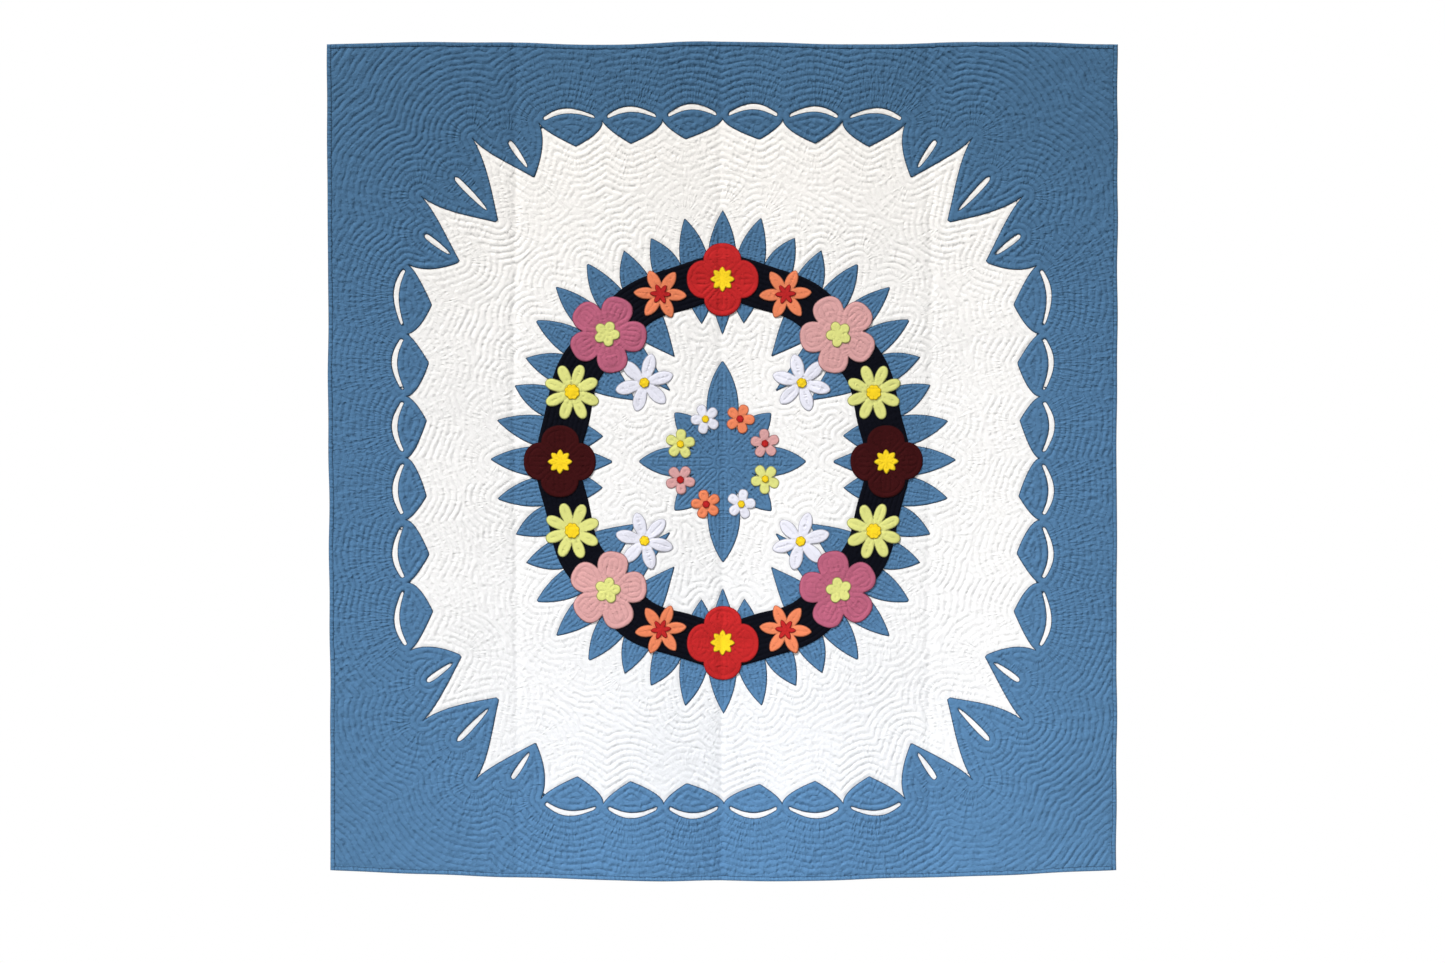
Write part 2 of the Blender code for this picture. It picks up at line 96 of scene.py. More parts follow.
# Where flat points hang. The depth is the sum of the folds' bell curves, less the creases'
# 1 / (1 + d^2), plus the swells and the pulls. The hem sags by a cosine of the place across, the
# top has three low humps, and the sides lean in or out on the way down.
def hang(x, y, lift):
    down = np.clip(-y / quilt["height"], 0, 1)
    depth = hanging["swell"] * softNoise(x, y, hanging["swellLength"], 3)
    depth = depth * (hanging["swellTop"] + hanging["swellHem"] * down)
    for across, half, top, bottom in hanging["folds"]:
        depth = depth + (top + (bottom - top) * down) * np.exp(-((x - across) / half) ** 2)
    for at, half, top, bottom in hanging["creases"]:
        bend = np.sin(y * hanging["creaseBend"] + at * hanging["creaseStart"])
        line = at + hanging["creaseWander"] * bend
        depth = depth - (top + (bottom - top) * down ** 2) / (1 + ((x - line) / half) ** 2)
    pulls = hanging["pulls"]
    wave = (x * np.cos(pulls["slant"]) + y * np.sin(pulls["slant"])) * 2 * np.pi / pulls["pitch"]
    where = np.exp(-((x - pulls["x"]) / pulls["half"]) ** 2)
    where = where * smoothStep(-pulls["from"], -pulls["to"], -y)
    depth = depth + pulls["high"] * np.sin(wave) * where
    along = x / quilt["halfWidth"]
    sag = (hanging["sagLift"] - hanging["sag"] * np.cos(along * np.pi / 2)) * down
    hump = hanging["topHump"] * np.cos(along * np.pi * 3) * (1 - down)
    lean = (hanging["leanLeft"] * (1 - along) + hanging["leanRight"] * (1 + along)) / 2 * down
    pullX, pullY = (hanging["wander"] * softNoise(x, y, length, seed)
                    for length, seed in zip(hanging["wanderLengths"], (5, 6)))
    return np.column_stack([x + lean + pullX, -(lift + depth), y + sag + hump + pullY])


# Flat outlines

# A line with its own points kept and more put between them, none further apart than the step.
def fineLine(points, closed=True):
    points = np.asarray(points, float)
    if closed:
        points = np.vstack([points, points[:1]])
    run = np.hypot(*np.diff(points, axis=0).T)
    points = points[np.append(True, run > 1e-9)]
    along = np.append(0, np.cumsum(run[run > 1e-9]))
    even = np.linspace(0, along[-1], int(along[-1] / quilt["lineStep"]) + 2)
    stops = np.unique(np.concatenate([even, along]))
    return np.column_stack([np.interp(stops, along, points[:, k]) for k in (0, 1)])


# Points at a radius and an angle from the quilt's middle.
def fromMiddle(radius, angle):
    return np.column_stack([radius * np.cos(angle), radius * np.sin(angle) + middleY])


# One leaf-shaped lobe: the share of its foot and the height there, up one side to the tip and
# down the other. The height is the share's root, so that the sides are round.
def leafLobe(tip, power=0.6, count=18):
    rise = np.linspace(0, 1, count)
    share = np.concatenate([tip * rise ** 2, 1 - (1 - tip) * rise[-2::-1] ** 2])
    height = np.concatenate([rise ** (2 * power), rise[-2::-1] ** (2 * power)])
    return share, height


frameCut = {
    "oval": (0.775, 0.830, 5.5),   # half width, half height and power of the squarish oval
    # span in degrees, depth, tip and slit of each lobe, from a side's middle to the top's
    "quarter": ((11, 0.050, 0.66, "crescent"), (10.5, 0.058, 0.66, "crescent"),
                (10, 0.068, 0.62, "crescent"), (9.5, 0.145, 0.56, "vein"),
                (11, 0.205, 0.50, "vein"), (9.5, 0.145, 0.44, "vein"),
                (9, 0.068, 0.38, "crescent"), (9.5, 0.058, 0.34, "crescent"),
                (10, 0.050, 0.34, "crescent")),
    # where a slit starts and stops, along its lobe for a crescent and towards the lobe's tip for
    # a vein. A crescent is off the oval by so much, bows from inner to outer, and its ends have a
    # share of its width and a round part. A vein's powers set where it is widest and how blunt.
    "crescent": {"start": 0.10, "stop": 0.90, "off": 0.010, "inner": 0.012, "outer": 0.026,
                 "endWidth": 0.6, "roundEnd": 0.012},
    "vein": {"start": 0.25, "stop": 0.80, "half": 0.007, "widest": 0.63, "blunt": 0.45},
}


# The oval's radius r at an angle a: (|cos a / wide|^p + |sin a / high|^p)^(-1 / p).
def ovalRadius(angle):
    wide, high, power = frameCut["oval"]
    return (np.abs(np.cos(angle) / wide) ** power
            + np.abs(np.sin(angle) / high) ** power) ** (-1 / power)


# Every lobe's first angle, span, depth, tip and slit. Every second quarter is turned round.
def frameLobes():
    lobes, first = [], 0.0
    for quarter in range(4):
        turned = quarter % 2 == 1
        for span, depth, tip, slit in frameCut["quarter"][::-1 if turned else 1]:
            lobes.append((first, np.radians(span), depth, 1 - tip if turned else tip, slit))
            first += np.radians(span)
    return lobes


# The frame's cut inner edge: each lobe stands inwards from the oval by depth times its height.
def frameEdge():
    parts = []
    for first, span, depth, tip, slit in frameLobes():
        share, height = leafLobe(tip)
        angle = first + span * share
        parts.append(fromMiddle(ovalRadius(angle) - depth * height, angle)[:-1])
    return fineLine(np.vstack(parts))


# A crescent bows out by a half sine, is narrower at its ends than in the middle and ends round.
# A vein is a thin lens along a lobe, a root of a half sine wide.
def frameSlit(first, span, depth, tip, slit):
    shape = frameCut[slit]
    length = shape["stop"] - shape["start"]
    if slit == "crescent":
        along = (1 - np.cos(np.linspace(0, np.pi, 31))) / 2
        angle = first + span * (shape["start"] + length * along)
        bow = np.sin(np.pi * along)
        radius = ovalRadius(angle) + shape["off"] + (shape["outer"] + shape["inner"]) / 2 * bow
        half = (shape["outer"] - shape["inner"]) / 2
        half = half * (shape["endWidth"] + (1 - shape["endWidth"]) * bow)
        half = half * np.minimum(1, (np.minimum(along, 1 - along) / shape["roundEnd"]) ** 0.5)
        sides = fromMiddle(radius + half, angle), fromMiddle(radius - half, angle)
    else:
        along = np.linspace(0, 1, 21)
        angle = first + span * tip
        radius = ovalRadius(angle) - depth * (shape["start"] + length * along)
        lens = np.sin(np.pi * along ** shape["widest"]).clip(0) ** shape["blunt"]
        lean = shape["half"] * lens / radius
        sides = fromMiddle(radius, angle + lean), fromMiddle(radius, angle - lean)
    return fineLine(np.vstack([sides[0], sides[1][-2:0:-1]]))


wreath = {"ringWidth": 0.400, "ringHeight": 0.440, "bandHalf": 0.054, "bandWave": 0.005,
          "bandWaves": 12, "hidden": 0.020, "notch": 0.046, "lean": 0.16, "rib": (-0.1, 0.84)}
fans = (
    {"name": "leaves_out", "count": 8, "first": 0, "way": 1, "pitch": 8.7,
     "lengths": (0.090, 0.113, 0.124, 0.113, 0.090)},
    {"name": "leaves_in", "count": 4, "first": 45, "way": -1, "pitch": 13.0,
     "lengths": (0.105, 0.165, 0.105)},
    {"name": "leaves_bud", "count": 4, "first": 0, "way": -1, "pitch": 9.0,
     "lengths": (0.055, 0.088, 0.055)},
)


# Points off the wreath's oval, measured along its outward normal.
def ringPoint(turn, off=0.0):
    turn = np.asarray(turn, float)
    normal = np.arctan2(np.sin(turn) * wreath["ringWidth"], np.cos(turn) * wreath["ringHeight"])
    return np.column_stack(np.broadcast_arrays(
        wreath["ringWidth"] * np.cos(turn) + off * np.cos(normal),
        wreath["ringHeight"] * np.sin(turn) + off * np.sin(normal) + middleY)), normal


# One edge of the dark band: the ring moved out or in by half the band, plus a cosine wave.
def bandEdge(side):
    turn = np.linspace(0, 2 * np.pi, 721)[:-1]
    wave = wreath["bandWave"] * np.cos(turn * wreath["bandWaves"])
    return fineLine(ringPoint(turn, side * wreath["bandHalf"] + wave)[0])


# A fan of leaves cut as one: the leaves' lobes side by side, then back along the hidden foot.
# Each leaf's rib leans with it.
def leafFan(row, turn):
    pitch, count, way = np.radians(row["pitch"]), len(row["lengths"]), row["way"]
    start = turn - pitch * count / 2
    parts, ribs = [], []
    for k, length in enumerate(row["lengths"]):
        lean = wreath["lean"] * (2 * k / (count - 1) - 1)
        share, height = leafLobe(0.5 + lean)
        off = way * (wreath["notch"] + length * height)
        parts.append(ringPoint(start + pitch * (k + share), off)[0][:-1])
        rise = np.linspace(*wreath["rib"], 16)
        rib = ringPoint(start + pitch * (k + 0.5 + lean * rise),
                        way * (wreath["notch"] + length * rise))[0]
        ribs.append(fineLine(rib, closed=False))
    parts.append(ringPoint([start + pitch * count], way * wreath["notch"])[0])
    foot = np.linspace(start + pitch * count, start, 4 * count + 1)
    parts.append(ringPoint(foot, way * wreath["hidden"])[0])
    return fineLine(np.vstack(parts)), ribs


# Petals, reach, notch and roundness as the solids have them, then what only shows here: the
# pitch and height of the quilting, how far out the lines between petals start, and where each
# petal's own line runs from and to.
petalParts = ("petals", "reach", "notch", "round", "pitch", "high", "seam", "rib")
flowers = {
    "rose": (5, 0.096, 0.62, 3.0, 0.0125, 0.0008, 0.30, (0.44, 0.72)),
    "poppy": (4, 0.088, 0.74, 2.4, 0.0120, 0.0008, 0.30, (0.46, 0.74)),
    "lily": (6, 0.064, 0.40, 1.3, 0.0115, 0.0006, 0.12, (0.30, 0.86)),
    "daisy": (8, 0.069, 0.44, 2.2, 0.0115, 0.0007, 0.20, (0.60, 0.80)),
    "jasmine": (6, 0.072, 0.34, 1.6, 0.0115, 0.0007, 0.12, (0.34, 0.84)),
    "blossom": (5, 0.036, 0.48, 2.6, 0.0140, 0.0006, 0.20, (0.60, 0.70)),
    "limeEye": (5, 0.032, 0.66, 2.0, 0.0120, 0.0006, 0.25, (0.50, 0.60)),
    "yellowEye": (8, 0.030, 0.66, 1.2, 0.0120, 0.0006, 0.25, (0.50, 0.60)),
    "star": (6, 0.026, 0.42, 1.2, 0.0120, 0.0005, 0.20, (0.40, 0.70)),
    "button": (8, 0.019, 0.86, 2.0, 0.0160, 0.0008, 0.50, (0.50, 0.60)),
    "dot": (6, 0.0125, 0.86, 2.0, 0.0150, 0.0007, 0.50, (0.50, 0.60)),
}
flowers = {kind: dict(zip(petalParts, values)) for kind, values in flowers.items()}
petalPoints = 24   # outline points to a petal


# A flower's outline: the radius is reach * (notch + (1 - notch) * (1 - offCentre^round)), where
# offCentre goes from 0 at a petal's middle to 1 between two petals. Then the lines on it.
def flowerShape(kind, x, y, turn, scale=1.0):
    shape = flowers[kind]
    petals, notch, reach = shape["petals"], shape["notch"], shape["reach"] * scale
    angle = np.linspace(0, 2 * np.pi, petals * petalPoints + 1)[:-1]
    offCentre = np.abs(2 * ((petals * angle / (2 * np.pi) + 0.5) % 1) - 1)
    radius = reach * (notch + (1 - notch) * (1 - offCentre ** shape["round"]))
    outline = np.column_stack([x + radius * np.cos(turn + angle),
                               y + radius * np.sin(turn + angle)])
    lines = []
    for k in range(petals):
        for half, ends in ((0.5, (shape["seam"], notch)), (0, shape["rib"])):
            way = turn + 2 * np.pi * (k + half) / petals
            ends = np.array(ends) * reach
            line = np.column_stack([x + ends * np.cos(way), y + ends * np.sin(way)])
            lines.append(fineLine(line, closed=False))
    return fineLine(outline), lines


rosette = {"notch": 0.078, "wide": 0.205, "high": 0.245, "slant": 0.168, "lobes": 8, "power": 0.75,
           "ribFrom": 0.035, "ribTo": 0.88, "blossomRing": 0.112}


# The middle motif: eight lobes, the upright ones out to an ellipse and the slanting ones to one
# radius, each with a rib along its middle.
def rosetteShape():
    span = 2 * np.pi / rosette["lobes"]
    parts, ribs = [], []
    for k in range(rosette["lobes"]):
        upright = np.hypot(np.cos(k * span) * rosette["wide"], np.sin(k * span) * rosette["high"])
        reach = rosette["slant"] if k % 2 else upright
        share, height = leafLobe(0.5, rosette["power"])
        radius = rosette["notch"] + (reach - rosette["notch"]) * height
        parts.append(fromMiddle(radius, k * span + span * (share - 0.5))[:-1])
        rib = np.array([rosette["ribFrom"], reach * rosette["ribTo"]])
        ribs.append(fineLine(fromMiddle(rib, np.full(2, k * span)), closed=False))
    return fineLine(np.vstack(parts)), ribs


# Distance to the lines, and which side a point is on

# The values moved by whole rows and columns, with -1 where nothing moves in.
def shifted(values, down, across):
    rows, columns = values.shape
    moved = np.full_like(values, -1)
    target = (slice(max(down, 0), rows + min(down, 0)),
              slice(max(across, 0), columns + min(across, 0)))
    source = (slice(max(-down, 0), rows + min(-down, 0)),
              slice(max(-across, 0), columns + min(-across, 0)))
    moved[target] = values[source]
    return moved


# For each grid point: the distance to the nearest straight run of the lines, the number of that
# run, and the share of it at which the nearest point lies. The grid point by each run's middle
# takes that run, and the nearest run spreads from point to point in jumps that halve each time.
# The three runs on each side of it are then tried too.
def nearestRun(gridX, gridY, starts, ends):
    rows, columns = gridX.shape
    farAway = 99.0
    middle = (starts + ends) / 2
    stepX = (gridX[0, -1] - gridX[0, 0]) / (columns - 1)
    stepY = (gridY[-1, 0] - gridY[0, 0]) / (rows - 1)
    column = np.clip(np.rint((middle[:, 0] - gridX[0, 0]) / stepX).astype(int), 0, columns - 1)
    row = np.clip(np.rint((middle[:, 1] - gridY[0, 0]) / stepY).astype(int), 0, rows - 1)
    off = np.hypot(middle[:, 0] - gridX[row, column], middle[:, 1] - gridY[row, column])
    order = np.argsort(-off)
    owner = np.full((rows, columns), -1)
    owner[row[order], column[order]] = order
    midX, midY = np.append(middle[:, 0], farAway), np.append(middle[:, 1], farAway)
    best = np.hypot(gridX - midX[owner], gridY - midY[owner])
    jumps = [2 ** k for k in range(int(np.log2(max(rows, columns))), -1, -1)] + [1]
    for jump in jumps:
        for down, across in ((-1, -1), (-1, 0), (-1, 1), (0, -1), (0, 1), (1, -1), (1, 0), (1, 1)):
            if abs(down * jump) >= rows or abs(across * jump) >= columns:
                continue
            other = shifted(owner, down * jump, across * jump)
            distance = np.hypot(gridX - midX[other], gridY - midY[other])
            closer = distance < best
            owner, best = np.where(closer, other, owner), np.where(closer, distance, best)
    run = ends - starts
    long = np.maximum((run ** 2).sum(1), 1e-14)
    best[:] = farAway
    nearest, place = owner.copy(), np.zeros_like(gridX)
    for hop in range(-3, 4):
        k = np.clip(owner + hop, 0, len(starts) - 1)
        share = ((gridX - starts[k, 0]) * run[k, 0] + (gridY - starts[k, 1]) * run[k, 1]) / long[k]
        share = np.clip(share, 0, 1)
        x, y = starts[k, 0] + share * run[k, 0], starts[k, 1] + share * run[k, 1]
        distance = np.hypot(gridX - x, gridY - y)
        closer = distance < best
        best = np.where(closer, distance, best)
        nearest, place = np.where(closer, k, nearest), np.where(closer, share, place)
    return best, nearest, place


# The grid points at the four corners of all squares.
squareCorners = [(rows, columns) for rows in (slice(None, -1), slice(1, None))
                 for columns in (slice(None, -1), slice(1, None))]


# How far along the lines the nearest point is. Round an outward corner that point stays put, so
# the turn of the direction to it is added, times a radius. Calm is 0 where the measure jumps by
# more than a few grid steps, and 1 elsewhere.
def alongLines(gridX, gridY, starts, ends, nearest, place, awayX, awayY, radius=0.06, jump=2.4):
    run = ends - starts
    lengths = np.hypot(*run.T)
    begun = np.cumsum(lengths) - lengths
    heading = np.unwrap(np.arctan2(run[:, 1], run[:, 0]))
    turn = np.arctan2(awayY, awayX) - heading[nearest]
    turn = turn - np.pi * np.floor(turn / np.pi)
    along = begun[nearest] + place * lengths[nearest] + radius * (turn + heading[nearest])
    limit = jump * (gridX[0, 1] - gridX[0, 0])
    across, down = np.abs(np.diff(along, axis=1)) > limit, np.abs(np.diff(along, axis=0)) > limit
    torn = across[:-1] | across[1:] | down[:, :-1] | down[:, 1:]
    calm = np.ones(along.shape)
    for corner in squareCorners:
        calm[corner] = np.where(torn, 0.0, calm[corner])
    return along, calm


# Each run of a loop flips the grid points to its right, in the rows that it crosses. A point
# that is flipped an odd number of times is inside.
def insideLoops(gridX, gridY, loops):
    rows, columns = gridX.shape
    flips = np.zeros((rows, columns + 1), int)
    stepX, stepY = gridX[0, 1] - gridX[0, 0], gridY[1, 0] - gridY[0, 0]
    for loop in loops:
        start, end = loop[:-1], loop[1:]
        fromRow, toRow = (start[:, 1] - gridY[0, 0]) / stepY, (end[:, 1] - gridY[0, 0]) / stepY
        low = np.ceil(np.minimum(fromRow, toRow)).astype(int)
        count = np.ceil(np.maximum(fromRow, toRow)).astype(int) - low
        run = np.repeat(np.arange(len(start)), count)
        row = low[run] + np.arange(count.sum()) - np.repeat(np.cumsum(count) - count, count)
        share = (row - fromRow[run]) / (toRow[run] - fromRow[run])
        x = start[run, 0] + share * (end[run, 0] - start[run, 0])
        column = np.clip(np.ceil((x - gridX[0, 0]) / stepX).astype(int), 0, columns)
        held = (row >= 0) & (row < rows)
        np.add.at(flips, (row[held], column[held]), 1)
    return np.cumsum(flips, axis=1)[:, :columns] % 2 == 1


# The same count for loose points: how many runs of the loops lie to the left of each.
def pointsInside(points, loops):
    crossings = np.zeros(len(points), int)
    for loop in loops:
        start, end = loop[:-1], loop[1:]
        spans = (start[:, 1] > points[:, 1:]) != (end[:, 1] > points[:, 1:])
        rise = np.where(np.abs(end[:, 1] - start[:, 1]) < 1e-12, 1e-12, end[:, 1] - start[:, 1])
        x = start[:, 0] + (points[:, 1:] - start[:, 1]) * (end[:, 0] - start[:, 0]) / rise
        crossings += (spans & (x < points[:, :1])).sum(1)
    return crossings % 2 == 1


# The first and the last points of all straight runs of the lines.
def runsOf(lines):
    return np.vstack([line[:-1] for line in lines]), np.vstack([line[1:] for line in lines])


# Cutting and quilting a cloth

# An even grid from the low corner to the high one, no wider than the step.
def gridOver(low, high, step):
    counts = [max(int(np.ceil((b - a) / step)), 3) + 1 for a, b in zip(low, high)]
    return np.meshgrid(np.linspace(low[0], high[0], counts[0]),
                       np.linspace(low[1], high[1], counts[1]))


# How stitched rounds stray from true by hand: the share and length of each noise, and what is
# added to the cloth's seed for it.
handNoise = ((1.0, 0.085, 0), (0.60, 0.032, 9), (0.30, 0.016, 10))
steadyUpTo = 0.2     # a round nearer to its line than this share of the pitch doesn't stray
leastCorner = 0.04   # smallest corner of a moved square, as a share of the square


# Moves each grid point that is within half a step of a stitched round onto it, straight towards
# or away from the line that the round follows, unless a square would turn over. The rounds are
# the distance over the pitch, and they wander a little, as hand quilting does.
def ontoRounds(gridX, gridY, starts, ends, pitch, wobble, seed):
    distance, nearest, place = nearestRun(gridX, gridY, starts, ends)
    foot = starts[nearest] + place[..., None] * (ends - starts)[nearest]
    awayX = (gridX - foot[..., 0]) / np.maximum(distance, 1e-9)
    awayY = (gridY - foot[..., 1]) / np.maximum(distance, 1e-9)
    along, calm = alongLines(gridX, gridY, starts, ends, nearest, place, awayX, awayY)
    hand = sum(share * softNoise(gridX, gridY, length, seed + more)
               for share, length, more in handNoise)
    hand = wobble * hand * np.clip(distance / pitch - steadyUpTo, 0, 1)
    rounds = (distance + hand) / pitch
    off = (rounds - np.rint(rounds)) * pitch
    step = gridX[0, 1] - gridX[0, 0]
    move = np.where(np.abs(off) < 0.5 * step, -off, 0.0)
    for attempt in range(4):
        x, y = gridX + move * awayX, gridY + move * awayY
        bottomX, bottomY = np.diff(x, axis=1)[:-1], np.diff(y, axis=1)[:-1]
        leftX, leftY = np.diff(x, axis=0)[:, :-1], np.diff(y, axis=0)[:, :-1]
        topX, topY = np.diff(x, axis=1)[1:], np.diff(y, axis=1)[1:]
        rightX, rightY = np.diff(x, axis=0)[:, 1:], np.diff(y, axis=0)[:, 1:]
        least = np.minimum.reduce([bottomX * leftY - bottomY * leftX,
                                   bottomX * rightY - bottomY * rightX,
                                   topX * leftY - topY * leftX, topX * rightY - topY * rightX])
        bad = least < leastCorner * step * step
        for corner in squareCorners:
            move[corner] = np.where(bad, 0.0, move[corner])
    rounds = np.where(move != 0, np.rint(rounds), rounds)
    return gridX + move * awayX, gridY + move * awayY, distance + move, rounds, along, calm


# Two triangles to a square, split along the diagonal whose ends are nearest in height.
def squaresSplit(height):
    index = np.arange(height.size).reshape(height.shape)
    a, b, c, d = index[:-1, :-1], index[:-1, 1:], index[1:, 1:], index[1:, :-1]
    flat = height.ravel()
    slant = np.abs(flat[a] - flat[c]) <= np.abs(flat[b] - flat[d])
    low = np.stack([a, b, np.where(slant, c, d)], -1).reshape(-1, 3)
    high = np.stack([np.where(slant, a, b), c, d], -1).reshape(-1, 3)
    return np.vstack([low, high])


# Cuts the triangles along the line where keep is 0. New points lie on the edges that cross it,
# at the share that keep gives, and the two triangles at an edge share them.
def cutAlong(columns, triangles, keep):
    inside = keep >= 0
    count = inside[triangles].sum(1)
    strict = (keep > 0)[triangles].any(1)
    whole = triangles[(count == 3) & strict]
    lone, pair = triangles[(count == 1) & strict], triangles[(count == 2) & strict]
    turn = np.argmax(inside[lone], axis=1)[:, None]
    lone = np.take_along_axis(lone, (turn + np.arange(3)) % 3, axis=1)
    turn = np.argmin(inside[pair], axis=1)[:, None]
    pair = np.take_along_axis(pair, (turn + np.arange(3)) % 3, axis=1)
    crossed = np.vstack([lone[:, [0, 1]], lone[:, [0, 2]], pair[:, [1, 0]], pair[:, [2, 0]]])
    total = len(columns)
    key, back = np.unique(crossed[:, 0] * total + crossed[:, 1], return_inverse=True)
    kept, lost = key // total, key % total
    share = (keep[kept] / (keep[kept] - keep[lost]))[:, None]
    made = columns[kept] * (1 - share) + columns[lost] * share
    number = np.where(keep[kept] == 0, kept, total + np.arange(len(key)))[back]
    ab, ac, bo, co = np.split(number, np.cumsum([len(lone), len(lone), len(pair)]))
    triangles = np.vstack([whole, np.column_stack([lone[:, 0], ab, ac]),
                           np.column_stack([bo, pair[:, 1], pair[:, 2]]),
                           np.column_stack([bo, pair[:, 2], co])])
    flat = (triangles[:, 0] == triangles[:, 1]) | (triangles[:, 1] == triangles[:, 2]) \
        | (triangles[:, 2] == triangles[:, 0])
    triangles = triangles[~flat]
    onLine = np.concatenate([keep == 0, np.ones(len(key), bool)])
    used, back = np.unique(triangles, return_inverse=True)
    return np.vstack([columns, made])[used], back.reshape(-1, 3), onLine[used]


# each row below a rim: its shares of the roll outwards and of the way down
turned = {"rows": ((1.0, 0.45), (0.3, 1.0)), "outside": 0.003, "leastDrop": 0.0002}


# Turns a cloth's cut edge down: two more rows of points below the rim, so that the edge is
# rounded. What lies under it is read a little outside the rim. A rim's outward side is to the
# right of its runs.
def turnedDown(columns, triangles, onLine, bottom, roll):
    total = len(columns)
    runs = np.vstack([triangles[:, [0, 1]], triangles[:, [1, 2]], triangles[:, [2, 0]]])
    lone = ~np.isin(runs[:, 0] * total + runs[:, 1], runs[:, 1] * total + runs[:, 0])
    rim = runs[lone & onLine[runs].all(1)]
    used, back = np.unique(rim, return_inverse=True)
    back = back.reshape(-1, 2)
    run = columns[rim[:, 1], :2] - columns[rim[:, 0], :2]
    outward = np.zeros((len(used), 2))
    for end in (0, 1):
        np.add.at(outward, back[:, end], np.column_stack([run[:, 1], -run[:, 0]]))
    outward /= np.maximum(np.hypot(*outward.T), 1e-9)[:, None]
    top = columns[used]
    floor = bottom(*(top[:, :2] + turned["outside"] * outward).T)
    floor = np.minimum(floor, top[:, 2] - turned["leastDrop"])
    rows = []
    for out, drop in turned["rows"]:
        row = top.copy()
        row[:, :2] += roll * out * outward
        row[:, 2] += (floor - row[:, 2]) * drop
        rows.append(row)
    first, second = total + back, total + len(used) + back
    faces = [triangles]
    for upper, lower in ((rim, first), (first, second)):
        faces.append(np.column_stack([upper[:, 1], upper[:, 0], lower[:, 0]]))
        faces.append(np.column_stack([upper[:, 1], lower[:, 0], lower[:, 1]]))
    return np.vstack([columns, *rows]), np.vstack(faces)


# The triangles' area before the cloth is hung: half the cross product of two sides of each.
def flatArea(columns, triangles):
    a, b, c = (columns[triangles[:, k], :2] for k in range(3))
    return float(np.abs(np.cross(b - a, c - a)).sum() / 2)


# Pieces

# A cloth's points as rows of x, y, lift, rounds, the distance from its own edge, the way along
# the stitched lines and calm, from seven grids of them.
def pointRows(*grids):
    return np.column_stack([grid.ravel() for grid in grids])


# The last four become attributes, and the flat place becomes the UV map, in metres.
def makePiece(name, columns, triangles, slot, stands=()):
    mesh = bpy.data.meshes.new(name)
    mesh.vertices.add(len(columns))
    mesh.vertices.foreach_set("co", hang(columns[:, 0], columns[:, 1], columns[:, 2]).ravel())
    mesh.loops.add(triangles.size)
    mesh.loops.foreach_set("vertex_index", triangles.ravel().astype(np.int32))
    mesh.polygons.add(len(triangles))
    mesh.polygons.foreach_set("loop_start", np.arange(0, triangles.size, 3, dtype=np.int32))
    mesh.update(calc_edges=True)
    mesh.polygons.foreach_set("use_smooth", np.ones(len(triangles), bool))
    for label, column in (("rounds", 3), ("edge", 4), ("along", 5), ("calm", 6)):
        attribute = mesh.attributes.new(label, "FLOAT", "POINT")
        attribute.data.foreach_set("value", columns[:, column].astype(np.float32))
    flat = mesh.uv_layers.new(name="flat")
    flat.uv.foreach_set("vector", columns[triangles.ravel(), :2].astype(np.float32).ravel())
    mesh.materials.append(materials[slot])
    mesh.validate()
    piece = bpy.data.objects.new(name, mesh)
    bpy.context.scene.collection.objects.link(piece)
    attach(piece, "root")
    if stands:
        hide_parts(*stands)
    return piece


# The highest cloth at each place so far, on a 3 mm grid over the quilt.
stack = {"step": 0.003}
stack["x"], stack["y"] = gridOver((-quilt["halfWidth"], -quilt["height"]),
                                  (quilt["halfWidth"], 0), stack["step"])
stack["top"] = np.full(stack["x"].shape, quilt["groundLift"])


# The row and column of loose points on that grid, with their fractions.
def stackIndex(x, y):
    column = (x + quilt["halfWidth"]) / (stack["x"][0, 1] - stack["x"][0, 0])
    row = (y + quilt["height"]) / (stack["y"][1, 0] - stack["y"][0, 0])
    rows, columns = stack["top"].shape
    return np.clip(row, 0, rows - 1.001), np.clip(column, 0, columns - 1.001)


# A map's value at loose points, straight between the four grid points round each.
def readMap(values, x, y):
    row, column = stackIndex(x, y)
    j, i = row.astype(int), column.astype(int)
    v, u = row - j, column - i
    return (values[j, i] * (1 - u) * (1 - v) + values[j, i + 1] * u * (1 - v)
            + values[j + 1, i] * (1 - u) * v + values[j + 1, i + 1] * u * v)


# The map that a new cloth lies on: the highest of the near places, then the mean of them, taken
# along each axis twice over.
def draped(values, reach=2, rounds=2):
    near = range(-reach, reach + 1)
    lifted = np.max([np.roll(values, (down, across), (0, 1)) for down in near for across in near],
                    axis=0)
    for again in range(rounds):
        for axis in (0, 1):
            lifted = np.mean([np.roll(lifted, k, axis) for k in near], axis=0)
    return lifted


sewn = {
    "thick": 0.0008,                     # an appliqued cloth
    "step": 0.0028,                      # its grid
    "wobble": 0.0007,                    # how far its stitched rounds stray
    "roll": 0.0004,                      # how far its turned edge bulges
    "crownReach": 0.02,                  # how far in from the edge a plump cloth rises
    "power": 0.75,                       # roundness of its rounds
    # its gathers: mean, change, length along the lines and what each round adds to the place
    "gathers": (0.85, 0.30, 0.018, 0.01),
}


